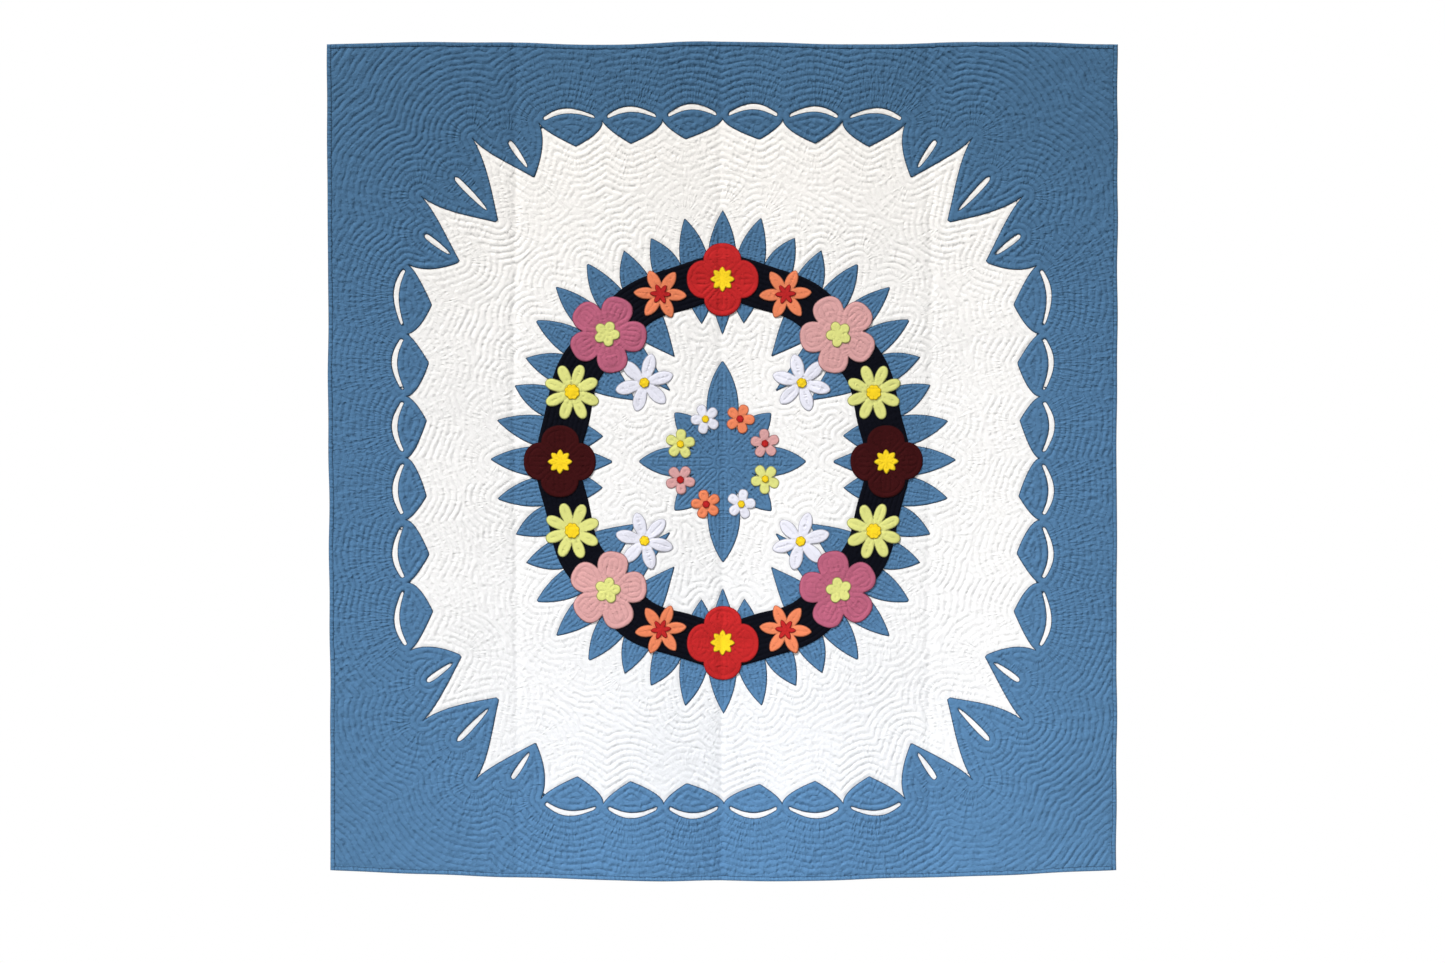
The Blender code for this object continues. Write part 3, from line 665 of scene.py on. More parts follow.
# One appliqued cloth: its outline and the lines on it give the quilted rounds, and its edge is
# turned down to what lies under it. The relief is high * |sin(pi * rounds)|^power, higher and
# lower along the lines by a noise, plus a crown that rises by a root of the way in from the edge.
def applique(region, support, seed):
    allPoints = np.vstack(region["loops"])
    margin = 3 * sewn["step"]
    gridX, gridY = gridOver(allPoints.min(0) - margin, allPoints.max(0) + margin, sewn["step"])
    starts, ends = runsOf(region["loops"] + region["lines"])
    x, y, distance, rounds, along, calm = ontoRounds(gridX, gridY, starts, ends, region["pitch"],
                                                     sewn["wobble"], seed)
    inside = insideLoops(gridX, gridY, region["loops"])
    rim = nearestRun(x, y, *runsOf(region["loops"]))[0]
    rim = np.where(rim < 1e-6, 0.0, rim)
    keep = np.where(inside, rim, -rim)
    relief = region["high"] * np.abs(np.sin(np.pi * rounds)) ** sewn["power"]
    mean, change, length, onward = sewn["gathers"]
    relief = relief * (mean + change * softNoise(along, rounds * onward, length, seed + 1))
    relief = relief + region["crown"] * np.clip(rim / sewn["crownReach"], 0, 1) ** 0.5
    lift = readMap(support, x, y) + sewn["thick"] + np.maximum(relief, 0) * inside
    columns = pointRows(x, y, lift, rounds, rim, along, calm)
    columns, triangles, onLine = cutAlong(columns, squaresSplit(relief), keep.ravel())
    columns[onLine, 3:5] = 0
    under = stack["top"]
    columns, triangles = turnedDown(columns, triangles, onLine,
                                    lambda px, py: readMap(under, px, py), sewn["roll"])
    row, column = (np.rint(v).astype(int) for v in stackIndex(columns[:, 0], columns[:, 1]))
    newTops.append((row, column, columns[:, 2]))
    return makePiece(region["name"] + "_cloth", columns, triangles, region["cloth"],
                     region["stands"])


newTops = []   # heights of the layer being laid, until the next one starts


# Adds the last layer's heights to the stack, and gives what the next layer lies on.
def nextLayer():
    for row, column, top in newTops:
        np.maximum.at(stack["top"], (row, column), top)
    newTops.clear()
    return draped(stack["top"])


# Materials

# A Math node's output, for sockets or numbers.
def mathNode(tree, operation, *values):
    node = tree.nodes.new("ShaderNodeMath")
    node.operation = operation
    for socket, value in zip(node.inputs, values):
        if isinstance(value, (int, float)):
            socket.default_value = value
        else:
            tree.links.new(value, socket)
    return node.outputs[0]


# Sockets or numbers added up from left to right.
def plus(tree, total, *others):
    for other in others:
        total = mathNode(tree, "ADD", total, other)
    return total


# Sockets or numbers multiplied from left to right.
def times(tree, product, *others):
    for other in others:
        product = mathNode(tree, "MULTIPLY", product, other)
    return product


# The whole less the part.
def minus(tree, whole, part):
    return mathNode(tree, "SUBTRACT", whole, part)


# Falls smoothly from 1 at zero to 0 at the reach.
def nearZero(tree, value, reach):
    node = tree.nodes.new("ShaderNodeMapRange")
    node.interpolation_type = "SMOOTHSTEP"
    for label, number in (("From Min", 0), ("From Max", reach), ("To Min", 1), ("To Max", 0)):
        node.inputs[label].default_value = number
    tree.links.new(value, node.inputs["Value"])
    return node.outputs[0]


# Noise of 0 to 1 with so many features to a unit of the vector.
def noiseOn(tree, vector, scale, detail=2.0, rough=0.5):
    node = tree.nodes.new("ShaderNodeTexNoise")
    for label, number in (("Scale", scale), ("Detail", detail), ("Roughness", rough)):
        node.inputs[label].default_value = number
    tree.links.new(vector, node.inputs["Vector"])
    return node.outputs["Fac"]


# The same noise, of about -0.5 to 0.5.
def evenNoise(tree, vector, scale, detail, rough=0.5):
    return minus(tree, noiseOn(tree, vector, scale, detail, rough), 0.5)


# A float attribute of the cloth's points.
def attributeOf(tree, name):
    node = tree.nodes.new("ShaderNodeAttribute")
    node.attribute_name = name
    return node.outputs["Fac"]


# A vector's x, y and z.
def splitVector(tree, vector):
    node = tree.nodes.new("ShaderNodeSeparateXYZ")
    tree.links.new(vector, node.inputs[0])
    return node.outputs


# The cotton's fine detail. Lengths, heights and the rim's reach are in metres, the other reaches
# are shares of the pitch, and scales are features to a metre.
fineCotton = {
    "lineReach": 0.13, "dipReach": 0.32, "besideReach": 0.45, "stitchReach": 0.035,
    "dip": -0.00070, "dipChange": -0.0036,             # depth, and what the broad noise adds
    "stitchLong": 0.0026, "stitchHigh": 0.00022,
    "rimReach": 0.0026,                                # width of the shade along a turned edge
    "gatherLong": 0.0070, "gatherTurns": 0.60, "gatherShare": 1.2,
    "puckerScale": 130, "puckerShare": 0.6,
    "puckerLeast": 0.50, "puckerBeside": 0.70,         # away from the lines, and more by them
    "fineScale": 420, "broadScale": 5, "fineShare": 0.5,
    "weave": 0.00055, "weaveHigh": 0.000012, "weaveShade": 0.02,
    "rough": 0.86, "roughChange": 0.14,
}


# Washed, hand-quilted cotton. Inputs: the cloth's colour, how much its stitched lines darken,
# how far it mottles, the height of its puckers in metres and how much its turned edge darkens.
def cottonGroup():
    tree = bpy.data.node_groups.new("quiltedCotton", "ShaderNodeTree")
    for label, kind, default in (("Tint", "NodeSocketColor", (0.8, 0.8, 0.8, 1)),
                                 ("Line Shade", "NodeSocketFloat", 0.3),
                                 ("Mottle", "NodeSocketFloat", 0.06),
                                 ("Pucker", "NodeSocketFloat", 0.0004),
                                 ("Edge Shade", "NodeSocketFloat", 0.3)):
        socket = tree.interface.new_socket(label, in_out="INPUT", socket_type=kind)
        socket.default_value = default
    for label, kind in (("Color", "NodeSocketColor"), ("Height", "NodeSocketFloat"),
                        ("Roughness", "NodeSocketFloat")):
        tree.interface.new_socket(label, in_out="OUTPUT", socket_type=kind)
    given = tree.nodes.new("NodeGroupInput").outputs
    made = tree.nodes.new("NodeGroupOutput").inputs
    part = fineCotton
    uvNode = tree.nodes.new("ShaderNodeUVMap")
    uvNode.uv_map = "flat"
    flat = uvNode.outputs["UV"]
    rounds = attributeOf(tree, "rounds")
    away = mathNode(tree, "PINGPONG", rounds, 0.5)   # 0 on a stitched line
    rim = nearZero(tree, attributeOf(tree, "edge"), part["rimReach"])
    # running stitches: dashes on each line
    dashes = tree.nodes.new("ShaderNodeTexChecker")
    dashes.inputs["Scale"].default_value = 1 / part["stitchLong"]
    tree.links.new(flat, dashes.inputs["Vector"])
    stitch = times(tree, nearZero(tree, away, part["stitchReach"]), dashes.outputs["Fac"])
    # gathers: short folds that cross the stitched lines, long over a ridge and narrow along it
    crossing = tree.nodes.new("ShaderNodeCombineXYZ")
    crossed = times(tree, attributeOf(tree, "along"), 1 / part["gatherLong"])
    tree.links.new(crossed, crossing.inputs[0])
    tree.links.new(times(tree, rounds, part["gatherTurns"]), crossing.inputs[1])
    gathers = evenNoise(tree, crossing.outputs[0], 1.0, 1.0)
    gathers = times(tree, gathers, attributeOf(tree, "calm"), part["gatherShare"])
    puckers = times(tree, evenNoise(tree, flat, part["puckerScale"], 3, 0.6), part["puckerShare"])
    puckers = plus(tree, gathers, puckers)
    fine = evenNoise(tree, flat, part["fineScale"], 2)
    broad = evenNoise(tree, flat, part["broadScale"], 1)
    warp, weft = (mathNode(tree, "SINE", times(tree, way, 2 * np.pi / part["weave"]))
                  for way in splitVector(tree, flat)[:2])
    weave = times(tree, warp, weft)
    # height: puckers mostly beside each line, a dip along it, stitches in it, and the weave
    beside = times(tree, nearZero(tree, away, part["besideReach"]), part["puckerBeside"])
    puckers = times(tree, puckers, plus(tree, part["puckerLeast"], beside), given["Pucker"])
    dip = plus(tree, part["dip"], times(tree, broad, part["dipChange"]))
    dip = times(tree, nearZero(tree, away, part["dipReach"]), dip)
    height = plus(tree, puckers, dip, times(tree, stitch, part["stitchHigh"]),
                  times(tree, weave, part["weaveHigh"]))
    tree.links.new(height, made["Height"])
    # shade: darker in the stitched lines and along the turned edge, mottled all over
    line = nearZero(tree, away, part["lineReach"])
    lineShade = minus(tree, 1.0, times(tree, line, given["Line Shade"]))
    rimShade = minus(tree, 1.0, times(tree, rim, given["Edge Shade"]))
    mottle = plus(tree, broad, times(tree, fine, part["fineShare"]))
    mottle = plus(tree, 1.0, times(tree, mottle, given["Mottle"]))
    weaveShade = plus(tree, 1.0, times(tree, weave, part["weaveShade"]))
    scaled = tree.nodes.new("ShaderNodeVectorMath")
    scaled.operation = "SCALE"
    tree.links.new(given["Tint"], scaled.inputs[0])
    tree.links.new(times(tree, lineShade, rimShade, mottle, weaveShade), scaled.inputs["Scale"])
    tree.links.new(scaled.outputs[0], made["Color"])
    rough = plus(tree, part["rough"], times(tree, fine, part["roughChange"]))
    tree.links.new(rough, made["Roughness"])
    return tree


cotton = cottonGroup()

# Painted light: towards the lower middle and the hem the cloth takes a second tint, which stands
# in for how the light fell there. The blue is painted lighter there, and the white darker and
# bluer.
# Its spans: how far down it starts, over what length it rises, and how much it is in the end. The
# hem's share fades towards the sides.
paintedLightSpans = {"half": (0.1, 0.9, 0.40), "hem": (0.9, 1.0, 0.60), "side": 0.95}


# The painted-light mask is the half's share, which rises smoothly over its span down the cloth,
# and the hem's, which is also multiplied by 1 - (x / side)^2.
def paintedLightMaskGroup():
    tree = bpy.data.node_groups.new("paintedLightMask", "ShaderNodeTree")
    tree.interface.new_socket("Mask", in_out="OUTPUT", socket_type="NodeSocketFloat")
    place = splitVector(tree, tree.nodes.new("ShaderNodeTexCoord").outputs["Object"])
    down = times(tree, place[2], -1)
    shares = []
    for start, span, most in (paintedLightSpans["half"], paintedLightSpans["hem"]):
        risen = minus(tree, 1.0, nearZero(tree, minus(tree, down, start), span))
        shares.append(times(tree, risen, most))
    aside = times(tree, place[0], 1 / paintedLightSpans["side"])
    shares[1] = times(tree, shares[1], minus(tree, 1.0, times(tree, aside, aside)))
    tree.links.new(plus(tree, *shares), tree.nodes.new("NodeGroupOutput").inputs["Mask"])
    return tree


paintedLightMask = paintedLightMaskGroup()
clothFinish = {"Specular IOR Level": 0.08, "Sheen Weight": 0.02, "Sheen Roughness": 0.45}


# The cotton group in a Principled shader, with its height in a bump. A cloth with a painted-light
# tint mixes it in by the mask, so it is painted lighter or darker towards the lower middle and
# hem.
def clothMaterial(name, tint, lineShade, mottle, pucker, edgeShade, depth, paintedLightTint=None):
    material = bpy.data.materials.new(name)
    material.use_nodes = True
    material.diffuse_color = (*tint, 1)
    tree = material.node_tree
    shader = tree.nodes["Principled BSDF"]
    for label, value in clothFinish.items():
        shader.inputs[label].default_value = value
    group = tree.nodes.new("ShaderNodeGroup")
    group.node_tree = cotton
    for label, value in (("Tint", (*tint, 1)), ("Line Shade", lineShade), ("Mottle", mottle),
                         ("Pucker", pucker), ("Edge Shade", edgeShade)):
        group.inputs[label].default_value = value
    bump = tree.nodes.new("ShaderNodeBump")
    bump.inputs["Strength"].default_value = 1.0
    bump.inputs["Distance"].default_value = depth
    tree.links.new(group.outputs["Height"], bump.inputs["Height"])
    tree.links.new(bump.outputs["Normal"], shader.inputs["Normal"])
    tree.links.new(group.outputs["Color"], shader.inputs["Base Color"])
    tree.links.new(group.outputs["Roughness"], shader.inputs["Roughness"])
    # Painted light: the tint goes over to the painted-light tint towards the lower middle and the
    # hem.
    if paintedLightTint:
        mask = tree.nodes.new("ShaderNodeGroup")
        mask.node_tree = paintedLightMask
        mix = tree.nodes.new("ShaderNodeMix")
        mix.data_type = "RGBA"
        mix.inputs["A"].default_value = (*tint, 1)
        mix.inputs["B"].default_value = (*paintedLightTint, 1)
        tree.links.new(mask.outputs[0], mix.inputs["Factor"])
        tree.links.new(mix.outputs["Result"], group.inputs["Tint"])
    return material


# tint, line shade, mottle, pucker height and edge shade of each cloth, how deep its relief
# looks, and its painted-light tint low down, which stands in for how the light fell there
cloths = {
    "white_cotton": ((0.885, 0.872, 0.855), 0.035, 0.02, 0.0060, 0.05, 0.46,
                     (0.755, 0.785, 0.840)),
    "blue_cotton": ((0.063, 0.153, 0.280), 0.15, 0.12, 0.0075, 0.80, 0.85,
                    (0.090, 0.216, 0.410)),
    "navy_cotton": ((0.0012, 0.0018, 0.0060), 0.10, 0.10, 0.0030, 0.10, 0.7),
    "pink": ((0.63, 0.335, 0.340), 0.10, 0.18, 0.0060, 0.60, 0.55),
    "mauve": ((0.44, 0.110, 0.190), 0.10, 0.22, 0.0060, 0.60, 0.55),
    "orange": ((0.76, 0.220, 0.105), 0.10, 0.18, 0.0060, 0.60, 0.55),
    "lime": ((0.66, 0.68, 0.225), 0.10, 0.14, 0.0060, 0.60, 0.55),
    "white": ((0.72, 0.73, 0.84), 0.08, 0.08, 0.0060, 0.55, 0.55),
    "red": ((0.48, 0.018, 0.020), 0.10, 0.22, 0.0060, 0.55, 0.55),
    "maroon": ((0.040, 0.003, 0.004), 0.10, 0.22, 0.0050, 0.40, 0.55),
    "yellow": ((0.88, 0.62, 0.018), 0.10, 0.08, 0.0050, 0.55, 0.55),
}
materials = {name: clothMaterial(name, *values) for name, values in cloths.items()}
print("materials made:", len(materials))

# The wreath's outlines
regions = []   # a dictionary for each cloth that is sewn on


# One cloth to sew on. Its quilting is the pitch and the height of its rounds, and a solid one
# stands for the CAD node of its name.
def addRegion(name, layer, loops, lines, quilting, cloth, crown=0.0, solid=True):
    pitch, high = quilting
    regions.append({"name": name, "layer": layer, "loops": loops, "lines": lines, "pitch": pitch,
                    "high": high, "crown": crown, "cloth": cloth,
                    "stands": (name,) if solid else ()})


leafQuilting, bandQuilting = (0.0098, 0.0013), (0.0118, 0.0012)
for row in fans:
    for k in range(row["count"]):
        outline, ribs = leafFan(row, np.radians(row["first"]) + 2 * np.pi * k / row["count"])
        addRegion(f"{row['name']}_{k + 1}", 0, [outline], ribs, leafQuilting, "blue_cotton")
outline, ribs = rosetteShape()
addRegion("rosette", 0, [outline], ribs, leafQuilting, "blue_cotton")
addRegion("wreath_band", 1, [bandEdge(1), bandEdge(-1)], [], bandQuilting, "navy_cotton")
flowerCrown = 0.0002   # how far a flower's middle stands above its edge


# A flower or a flower's centre, with the shape that its kind has in the table.
def addFlower(name, kind, layer, x, y, turn, cloth, solid=True, scale=1.0):
    outline, lines = flowerShape(kind, x, y, turn, scale)
    quilting = flowers[kind]["pitch"], flowers[kind]["high"]
    addRegion(name, layer, [outline], lines, quilting, cloth, flowerCrown, solid)


# Flowers on the wreath in order round it from the right, with their shapes, and what lies on
# each shape: its own shape, its cloth, and whether it is also a solid
around = (("maroon_poppy", "poppy"), ("lime_daisy", "daisy"), ("pink_rose", "rose"),
          ("orange_lily", "lily"), ("red_poppy", "poppy"), ("orange_lily", "lily"),
          ("mauve_rose", "rose"), ("lime_daisy", "daisy")) * 2
onTop = {"poppy": ("yellowEye", "yellow", True), "rose": ("limeEye", "lime", True),
         "lily": ("star", "red", False), "daisy": ("button", "yellow", False)}
seen = {}
for k, (name, kind) in enumerate(around):
    middle, normal = ringPoint([2 * np.pi * k / len(around)])
    (x, y), turn = middle[0], normal[0]
    seen[name] = seen.get(name, 0) + 1
    addFlower(f"{name}_{seen[name]}", kind, 2, x, y, turn, name.split("_")[0])
    topKind, cloth, solid = onTop[kind]
    addFlower(f"{name}_eye_{seen[name]}", topKind, 3, x, y, turn, cloth, solid)
jasmineFromMiddle = 0.272
smallDot = 0.72   # a blossom's eye, as a share of a jasmine's
for k in range(4):
    angle = np.pi * (k + 0.5) / 2
    x, y = fromMiddle(jasmineFromMiddle, np.array([angle]))[0]
    addFlower(f"white_jasmine_{k + 1}", "jasmine", 1, x, y, angle, "white")
    addFlower(f"white_jasmine_eye_{k + 1}", "dot", 2, x, y, angle, "yellow", solid=False)
for k, cloth in enumerate(("pink", "orange", "white", "lime") * 2):
    angle = 2 * np.pi * (k + 0.5) / 8
    x, y = fromMiddle(rosette["blossomRing"], np.array([angle]))[0]
    addFlower(f"{cloth}_blossom_{k // 4 + 1}", "blossom", 1, x, y, angle, cloth)
    eye = "red" if cloth in ("pink", "orange") else "yellow"
    addFlower(f"{cloth}_blossom_eye_{k // 4 + 1}", "dot", 2, x, y, angle, eye, False, smallDot)
print("wreath drawn:", len(regions), "cloths")


# The runs of all these outlines that no other cloth covers.
def openRuns(shapes):
    keptStarts, keptEnds = [], []
    boxes = [(np.vstack(s["loops"]).min(0), np.vstack(s["loops"]).max(0)) for s in shapes]
    for k, shape in enumerate(shapes):
        starts, ends = runsOf(shape["loops"])
        middle = (starts + ends) / 2
        covered = np.zeros(len(middle), bool)
        for j, other in enumerate(shapes):
            if j == k:
                continue
            near = ((middle >= boxes[j][0]) & (middle <= boxes[j][1])).all(1) & ~covered
            if near.any():
                covered[near] = pointsInside(middle[near], other["loops"])
        keptStarts.append(starts[~covered])
        keptEnds.append(ends[~covered])
    return np.vstack(keptStarts), np.vstack(keptEnds)


lowShapes = [r for r in regions if r["layer"] <= 2 and "_eye_" not in r["name"]]
wreathStarts, wreathEnds = openRuns(lowShapes)
frameLoops = [frameEdge()] + [frameSlit(*lobe) for lobe in frameLobes()]
frameStarts, frameEnds = runsOf(frameLoops)
allStarts, allEnds = np.vstack([frameStarts, wreathStarts]), np.vstack([frameEnds, wreathEnds])
print("outlines:", len(allStarts), "runs")

# The frame, the ground and the backing
hand = {
    "pitch": 0.0150, "wobble": 0.0016, "seed": 21,      # the stitched rounds
    "power": 0.8,                                       # roundness of the cloth between them
    "frameStep": 0.0046, "groundStep": 0.0046, "backStep": 0.0064,
    "frameHigh": 0.0021, "groundShare": 0.62, "backHigh": 0.0011,
    "patches": (0.94, 0.38, 0.30),                      # mean, change and length of its height
    # its gathers: change, length along the lines and what each round adds to the place
    "gathers": (0.36, 0.024, 0.02),
    "flatUnder": (0.010, 0.019),                        # it rises between these, in from the edge
    "tuck": 0.009, "flatEdge": 0.009,                   # the ground under and beside a cloth
    "turnRoll": 0.0005,
    "plain": 0.05,                                      # edge distance where no edge is turned
}
inset = quilt["borderInset"]
low = np.array([-quilt["halfWidth"] + inset, -quilt["height"] + inset])
high = np.array([quilt["halfWidth"] - inset, -inset])


# The grid over the quilt, then the same with its points on the stitched rounds of the lines.
def quiltedGrid(step, starts, ends):
    gridX, gridY = gridOver(low, high, step)
    return gridX, gridY, *ontoRounds(gridX, gridY, starts, ends, hand["pitch"], hand["wobble"],
                                     hand["seed"])


# The relief of hand quilting: high * |sin(pi * rounds)|^power, which is 0 on the stitched lines.
# It is lower in some places than in others, gathered along the lines, and ends under the binding.
def quiltRelief(x, y, rounds, along, tall, seed):
    relief = tall * np.abs(np.sin(np.pi * rounds)) ** hand["power"]
    mean, change, length = hand["patches"]
    gathered, short, onward = hand["gathers"]
    relief = relief * (mean + change * softNoise(x, y, length, seed)
                       + gathered * softNoise(along, rounds * onward, short, seed + 1))
    border = np.minimum(quilt["halfWidth"] - np.abs(x), np.minimum(-y, quilt["height"] + y))
    return np.maximum(relief, 0) * smoothStep(*hand["flatUnder"], border)


# Blue cloth everywhere but inside the cut edge and the slits, with its edge turned down.
def makeFrame():
    gridX, gridY, x, y, distance, rounds, along, calm = quiltedGrid(hand["frameStep"],
                                                                    frameStarts, frameEnds)
    blue = ~insideLoops(gridX, gridY, frameLoops)
    distance = np.where(distance < 1e-6, 0.0, distance)
    keep = np.where(blue, distance, -distance)
    relief = quiltRelief(x, y, rounds, along, hand["frameHigh"], 31)
    lift = quilt["frameLift"] + relief * blue
    columns = pointRows(x, y, lift, rounds, distance, along, calm)
    columns, triangles, onLine = cutAlong(columns, squaresSplit(relief), keep.ravel())
    columns[onLine, 3:5] = 0
    area = flatArea(columns, triangles)
    ground = quilt["groundLift"]
    columns, triangles = turnedDown(columns, triangles, onLine, lambda px, py: px * 0 + ground,
                                    hand["turnRoll"])
    return makePiece("blueFrame", columns, triangles, "blue_cotton", ("cut_frame",)), area


# White cloth where it shows, and a tuck's width further under each cloth on it, where it is flat.
def makeGround():
    gridX, gridY, x, y, distance, rounds, along, calm = quiltedGrid(hand["groundStep"],
                                                                    allStarts, allEnds)
    shown = insideLoops(gridX, gridY, frameLoops)
    for region in lowShapes:
        shown &= ~insideLoops(gridX, gridY, region["loops"])
    keep = hand["tuck"] + np.where(shown, distance, -distance)
    tall = hand["frameHigh"] * hand["groundShare"]
    relief = quiltRelief(x, y, rounds, along, tall, 33) * shown
    relief = relief * smoothStep(0, hand["flatEdge"], distance)   # so it stays under the appliques
    rounds = np.where(shown, rounds, 0.5)
    columns = pointRows(x, y, quilt["groundLift"] + relief, rounds, x * 0 + hand["plain"], along,
                        calm)
    columns, triangles, onLine = cutAlong(columns, squaresSplit(relief), keep.ravel())
    area = flatArea(columns, triangles)
    return makePiece("whiteGround", columns, triangles, "white_cotton", ("quilted_panel",)), area


# The whole back, with the same rounds standing out backwards.
def makeBacking():
    gridX, gridY, x, y, distance, rounds, along, calm = quiltedGrid(hand["backStep"],
                                                                    allStarts, allEnds)
    relief = quiltRelief(x, y, rounds, along, hand["backHigh"], 35)
    columns = pointRows(x, y, quilt["backLift"] - relief, rounds, x * 0 + hand["plain"], along,
                        calm)
    return makePiece("backing", columns, squaresSplit(relief)[:, ::-1], "white_cotton")


# Prints how many triangles the pieces have.
def report(label, *pieces):
    print(label, sum(len(piece.data.polygons) for piece in pieces), "triangles")


blueFrame, frameArea = makeFrame()
report("frame:", blueFrame)
whiteGround, groundArea = makeGround()
report("ground:", whiteGround)
backing = makeBacking()
report("backing:", backing)

# The wreath, layer by layer
appliques = []
for layer in range(4):
    support = nextLayer()
    for number, region in enumerate(r for r in regions if r["layer"] == layer):
        appliques.append(applique(region, support, 100 * (layer + 1) + 2 * number))
report("wreath:", *appliques)

# The binding
binding = {
    "width": 0.0110, "lap": 0.0010, "step": 0.005,
    # inset from the edge and lift, from the front seam round the edge to the back one
    "profile": ((0.0112, 0.0019), (0.0106, 0.0029), (0.0090, 0.0037), (0.0066, 0.0042),
                (0.0042, 0.0043), (0.0022, 0.0039), (0.0008, 0.0030), (0.0000, 0.0014),
                (0.0000, -0.0006), (0.0008, -0.0021), (0.0024, -0.0029), (0.0050, -0.0032),
                (0.0080, -0.0030), (0.0102, -0.0025), (0.0112, -0.0016)),
    "core": 0.0006,           # the lift that its ends close on
    "pinched": ((0, 0), (0.0008, 0.62), (0.0024, 0.92), (0.0045, 1)),   # how open it is, by an end
    "evenFrom": 0.008,        # its even steps start this far from an end
    "wander": 0.0006,         # how far its seams stray sideways
    "plumpChange": 0.18,      # how much the stitches pull it down
    "strayLong": 0.05, "strayShort": 0.017, "tugLength": 0.016,   # lengths of these noises
    "seamRound": 0.012,       # a round's width beside the seam
    "seamShade": 0.7, "foldShade": 0.65, "foldFrom": 0.0003, "shadeChange": 0.30,
}


# A folded strip: the profile carried along one edge. Noise along the strip lets the seams stray
# and makes it plumper and thinner, as stitches do, and its ends are pinched shut.
def bindingStrip(name, start, stop, inwards, seed):
    start, stop, inwards = (np.asarray(v, float) for v in (start, stop, inwards))
    long = float(np.hypot(*(stop - start)))
    ends, openness = np.array(binding["pinched"]).T
    even = np.linspace(binding["evenFrom"], long - binding["evenFrom"],
                       int(long / binding["step"]))
    along = np.concatenate([ends, even, long - ends[::-1]])
    profile = np.array(binding["profile"])
    opened = np.interp(np.minimum(along, long - along), ends, openness)[:, None]
    still = along * 0
    wander = (softNoise(along, still, binding["strayLong"], seed)
              + 0.5 * softNoise(along, still, binding["strayShort"], seed + 2))
    tug = softNoise(along, still, binding["tugLength"], seed + 1)[:, None]
    insets = profile[:, 0] / binding["width"]
    insets = profile[:, 0] + binding["wander"] * np.outer(wander, insets)
    plump = (profile[:, 1] - binding["core"]) * (1 + binding["plumpChange"] * tug)
    lifts = binding["core"] + plump * opened
    flat = start + (stop - start) * (along / long)[:, None]
    x = flat[:, :1] + inwards[0] * insets
    y = flat[:, 1:] + inwards[1] * insets
    # the shade follows the seams and the outer fold, measured round the profile
    run = np.append(0, np.cumsum(np.hypot(*np.diff(profile, axis=0).T)))
    seam = np.minimum(run, run[-1] - run)
    rounds = np.broadcast_to(np.minimum(seam / binding["seamRound"], 0.5), x.shape)
    fold = np.abs(run - run[np.argmin(profile[:, 0])])
    byFold = binding["foldFrom"] + fold * binding["foldShade"]
    edge = np.minimum(seam * binding["seamShade"], byFold)
    edge = edge * (1 + binding["shadeChange"] * tug.clip(-1, 1))
    way = np.broadcast_to(along[:, None], x.shape)
    columns = pointRows(x, y, lifts, rounds, edge, way, way * 0 + 1)
    index = np.arange(x.size).reshape(x.shape)
    a, b, c, d = index[:-1, :-1], index[1:, :-1], index[1:, 1:], index[:-1, 1:]
    triangles = np.vstack([np.stack([a, b, c], -1).reshape(-1, 3),
                           np.stack([a, c, d], -1).reshape(-1, 3)])
    piece = makePiece(name + "_cloth", columns, triangles, "blue_cotton", (name,))
    shell = bmesh.new()
    shell.from_mesh(piece.data)
    bmesh.ops.remove_doubles(shell, verts=shell.verts, dist=2e-5)
    shell.to_mesh(piece.data)
    shell.free()
    return piece, long


wide, tall = quilt["halfWidth"], quilt["height"]
end = wide - binding["width"] + binding["lap"]
strips = [
    bindingStrip("binding_left", (-wide, 0), (-wide, -tall), (1, 0), 61),
    bindingStrip("binding_right", (wide, -tall), (wide, 0), (-1, 0), 64),
    bindingStrip("binding_top", (end, 0), (-end, 0), (0, -1), 67),
    bindingStrip("binding_bottom", (-end, -tall), (end, -tall), (0, 1), 70),
]
report("binding:", *(piece for piece, long in strips))

# Stage, light and camera
floorShape = {"z": -2.30, "middleY": -1.05, "half": (2.5, 1.45), "rows": 9, "mottle": 3,
              "dark": (0.58, 0.58, 0.57, 1), "pale": (0.63, 0.63, 0.62, 1), "rough": 0.8}


# A flat grid, faces up, in a pale colour that a noise varies a little.
def makeFloor():
    count = floorShape["rows"]
    grid = np.linspace(-1, 1, count)
    x, y = np.meshgrid(grid * floorShape["half"][0],
                       floorShape["middleY"] + grid * floorShape["half"][1])
    index = np.arange(count * count).reshape(count, count)
    faces = np.stack([index[:-1, :-1], index[:-1, 1:], index[1:, 1:], index[1:, :-1]], -1)
    mesh = bpy.data.meshes.new("floor")
    mesh.from_pydata(pointRows(x, y, x * 0 + floorShape["z"]).tolist(), [],
                     faces.reshape(-1, 4).tolist())
    material = bpy.data.materials.new("paleFloor")
    material.use_nodes = True
    tree = material.node_tree
    shader = tree.nodes["Principled BSDF"]
    shader.inputs["Roughness"].default_value = floorShape["rough"]
    coordinates = tree.nodes.new("ShaderNodeTexCoord").outputs["Object"]
    ramp = tree.nodes.new("ShaderNodeValToRGB")
    for element, color in zip(ramp.color_ramp.elements, (floorShape["dark"], floorShape["pale"])):
        element.color = color
    tree.links.new(noiseOn(tree, coordinates, floorShape["mottle"]), ramp.inputs["Fac"])
    tree.links.new(ramp.outputs["Color"], shader.inputs["Base Color"])
    mesh.materials.append(material)
    floor = bpy.data.objects.new("floor", mesh)
    bpy.context.scene.collection.objects.link(floor)


ambient = 0.20   # strength of the white that lights the cloth, beside the white that is seen


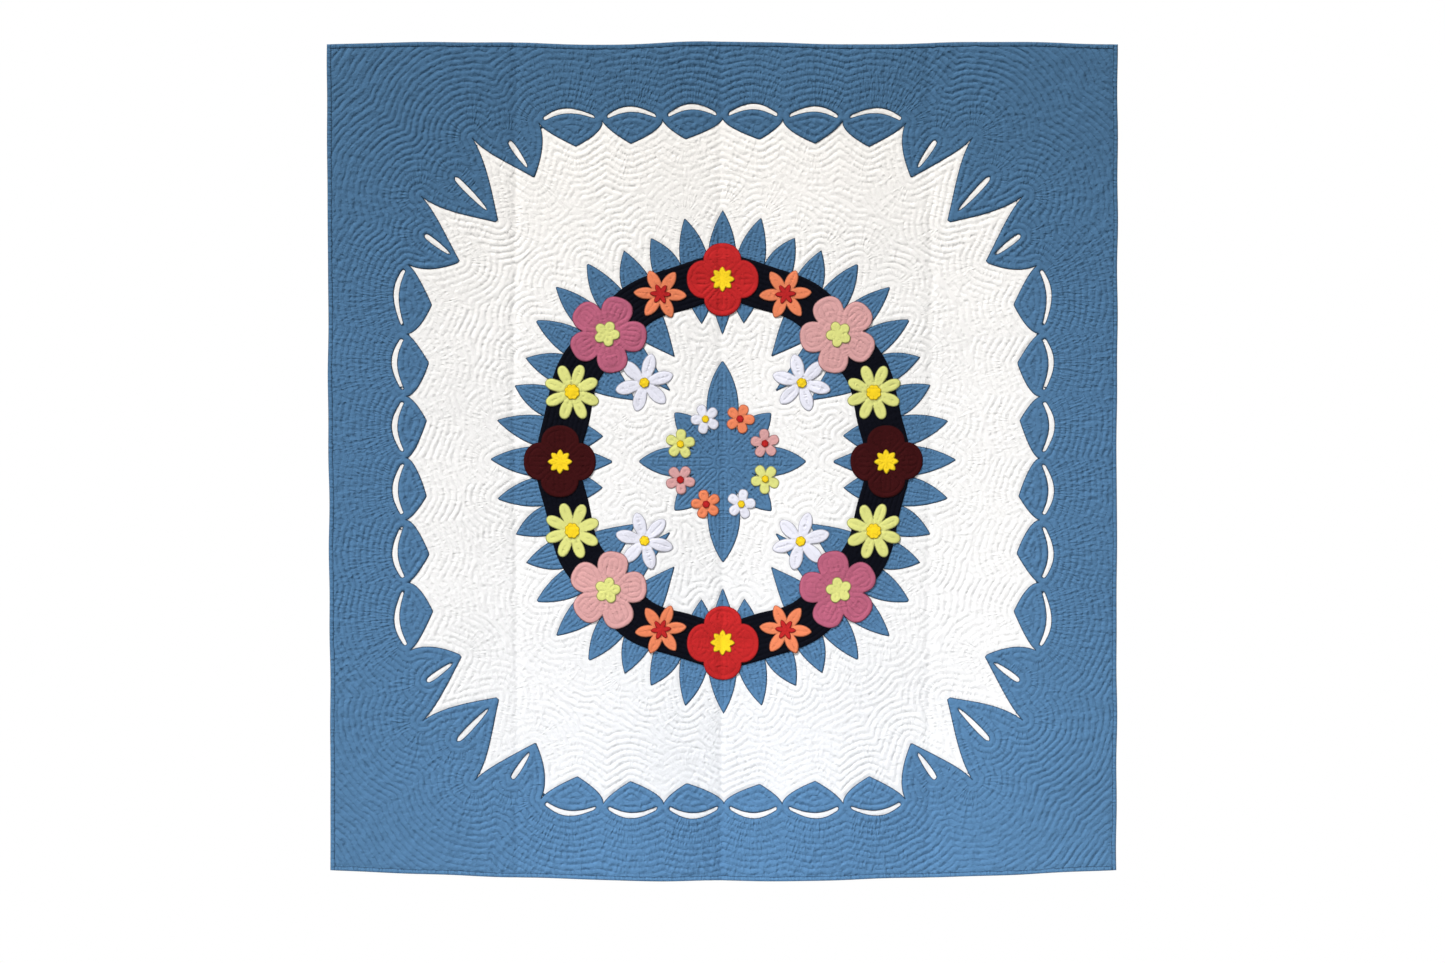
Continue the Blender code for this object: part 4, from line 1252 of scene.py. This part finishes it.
# White to the camera, and a softer white to light the cloth by.
def makeWorld():
    world = bpy.data.worlds.new("studio")
    world.use_nodes = True
    tree = world.node_tree
    background = tree.nodes["Background"]
    path = tree.nodes.new("ShaderNodeLightPath").outputs["Is Camera Ray"]
    strength = plus(tree, ambient, times(tree, path, 1 - ambient))
    background.inputs["Color"].default_value = (1, 1, 1, 1)
    tree.links.new(strength, background.inputs["Strength"])
    bpy.context.scene.world = world


# A sun shines from its place towards its aim, and its angle is in degrees. The rear one lights
# only the back of the cloth.
lights = {
    "key": {"kind": "SUN", "energy": 4.56, "angle": 9, "color": (1.0, 0.975, 0.94),
            "at": (-0.36, -0.47, 0.80), "aim": (0, 0, 0)},
    "rear": {"kind": "SUN", "energy": 3.0, "angle": 9, "color": (1.0, 1.0, 1.0),
             "at": (0.42, 0.56, 0.72), "aim": (0, 0, 0)},
    "fill": {"kind": "AREA", "energy": 4, "size": 1.2, "color": (0.90, 0.96, 1.0),
             "at": (0.05, -2.4, -2.1), "aim": (0.05, 0, -1.6)},
}


# A light at its place, turned towards its aim.
def makeLight(name, kind, energy, color, at, aim, angle=None, size=None):
    light = bpy.data.lights.new(name, kind)
    light.energy = energy
    light.color = color
    if kind == "SUN":
        light.angle = np.radians(angle)
    else:
        light.size = size
    lamp = bpy.data.objects.new(name, light)
    lamp.location = at
    lamp.rotation_euler = (Vector(aim) - Vector(at)).to_track_quat("-Z", "Y").to_euler()
    bpy.context.scene.collection.objects.link(lamp)


cameraView = {"at": (0.0, -12.0, -1.07), "lens": 122.5, "sensor": 36, "far": 100}


# Level, facing the quilt along +Y.
def makeCamera():
    view = bpy.data.cameras.new("camera")
    view.lens = cameraView["lens"]
    view.sensor_width = cameraView["sensor"]
    view.clip_end = cameraView["far"]
    camera = bpy.data.objects.new("camera", view)
    camera.location = cameraView["at"]
    camera.rotation_euler = (np.pi / 2, 0, 0)
    bpy.context.scene.collection.objects.link(camera)
    bpy.context.scene.camera = camera


makeFloor()
makeWorld()
for name, values in lights.items():
    makeLight(name, **values)
makeCamera()
bpy.context.scene.view_settings.view_transform = "Standard"
print("studio ready")
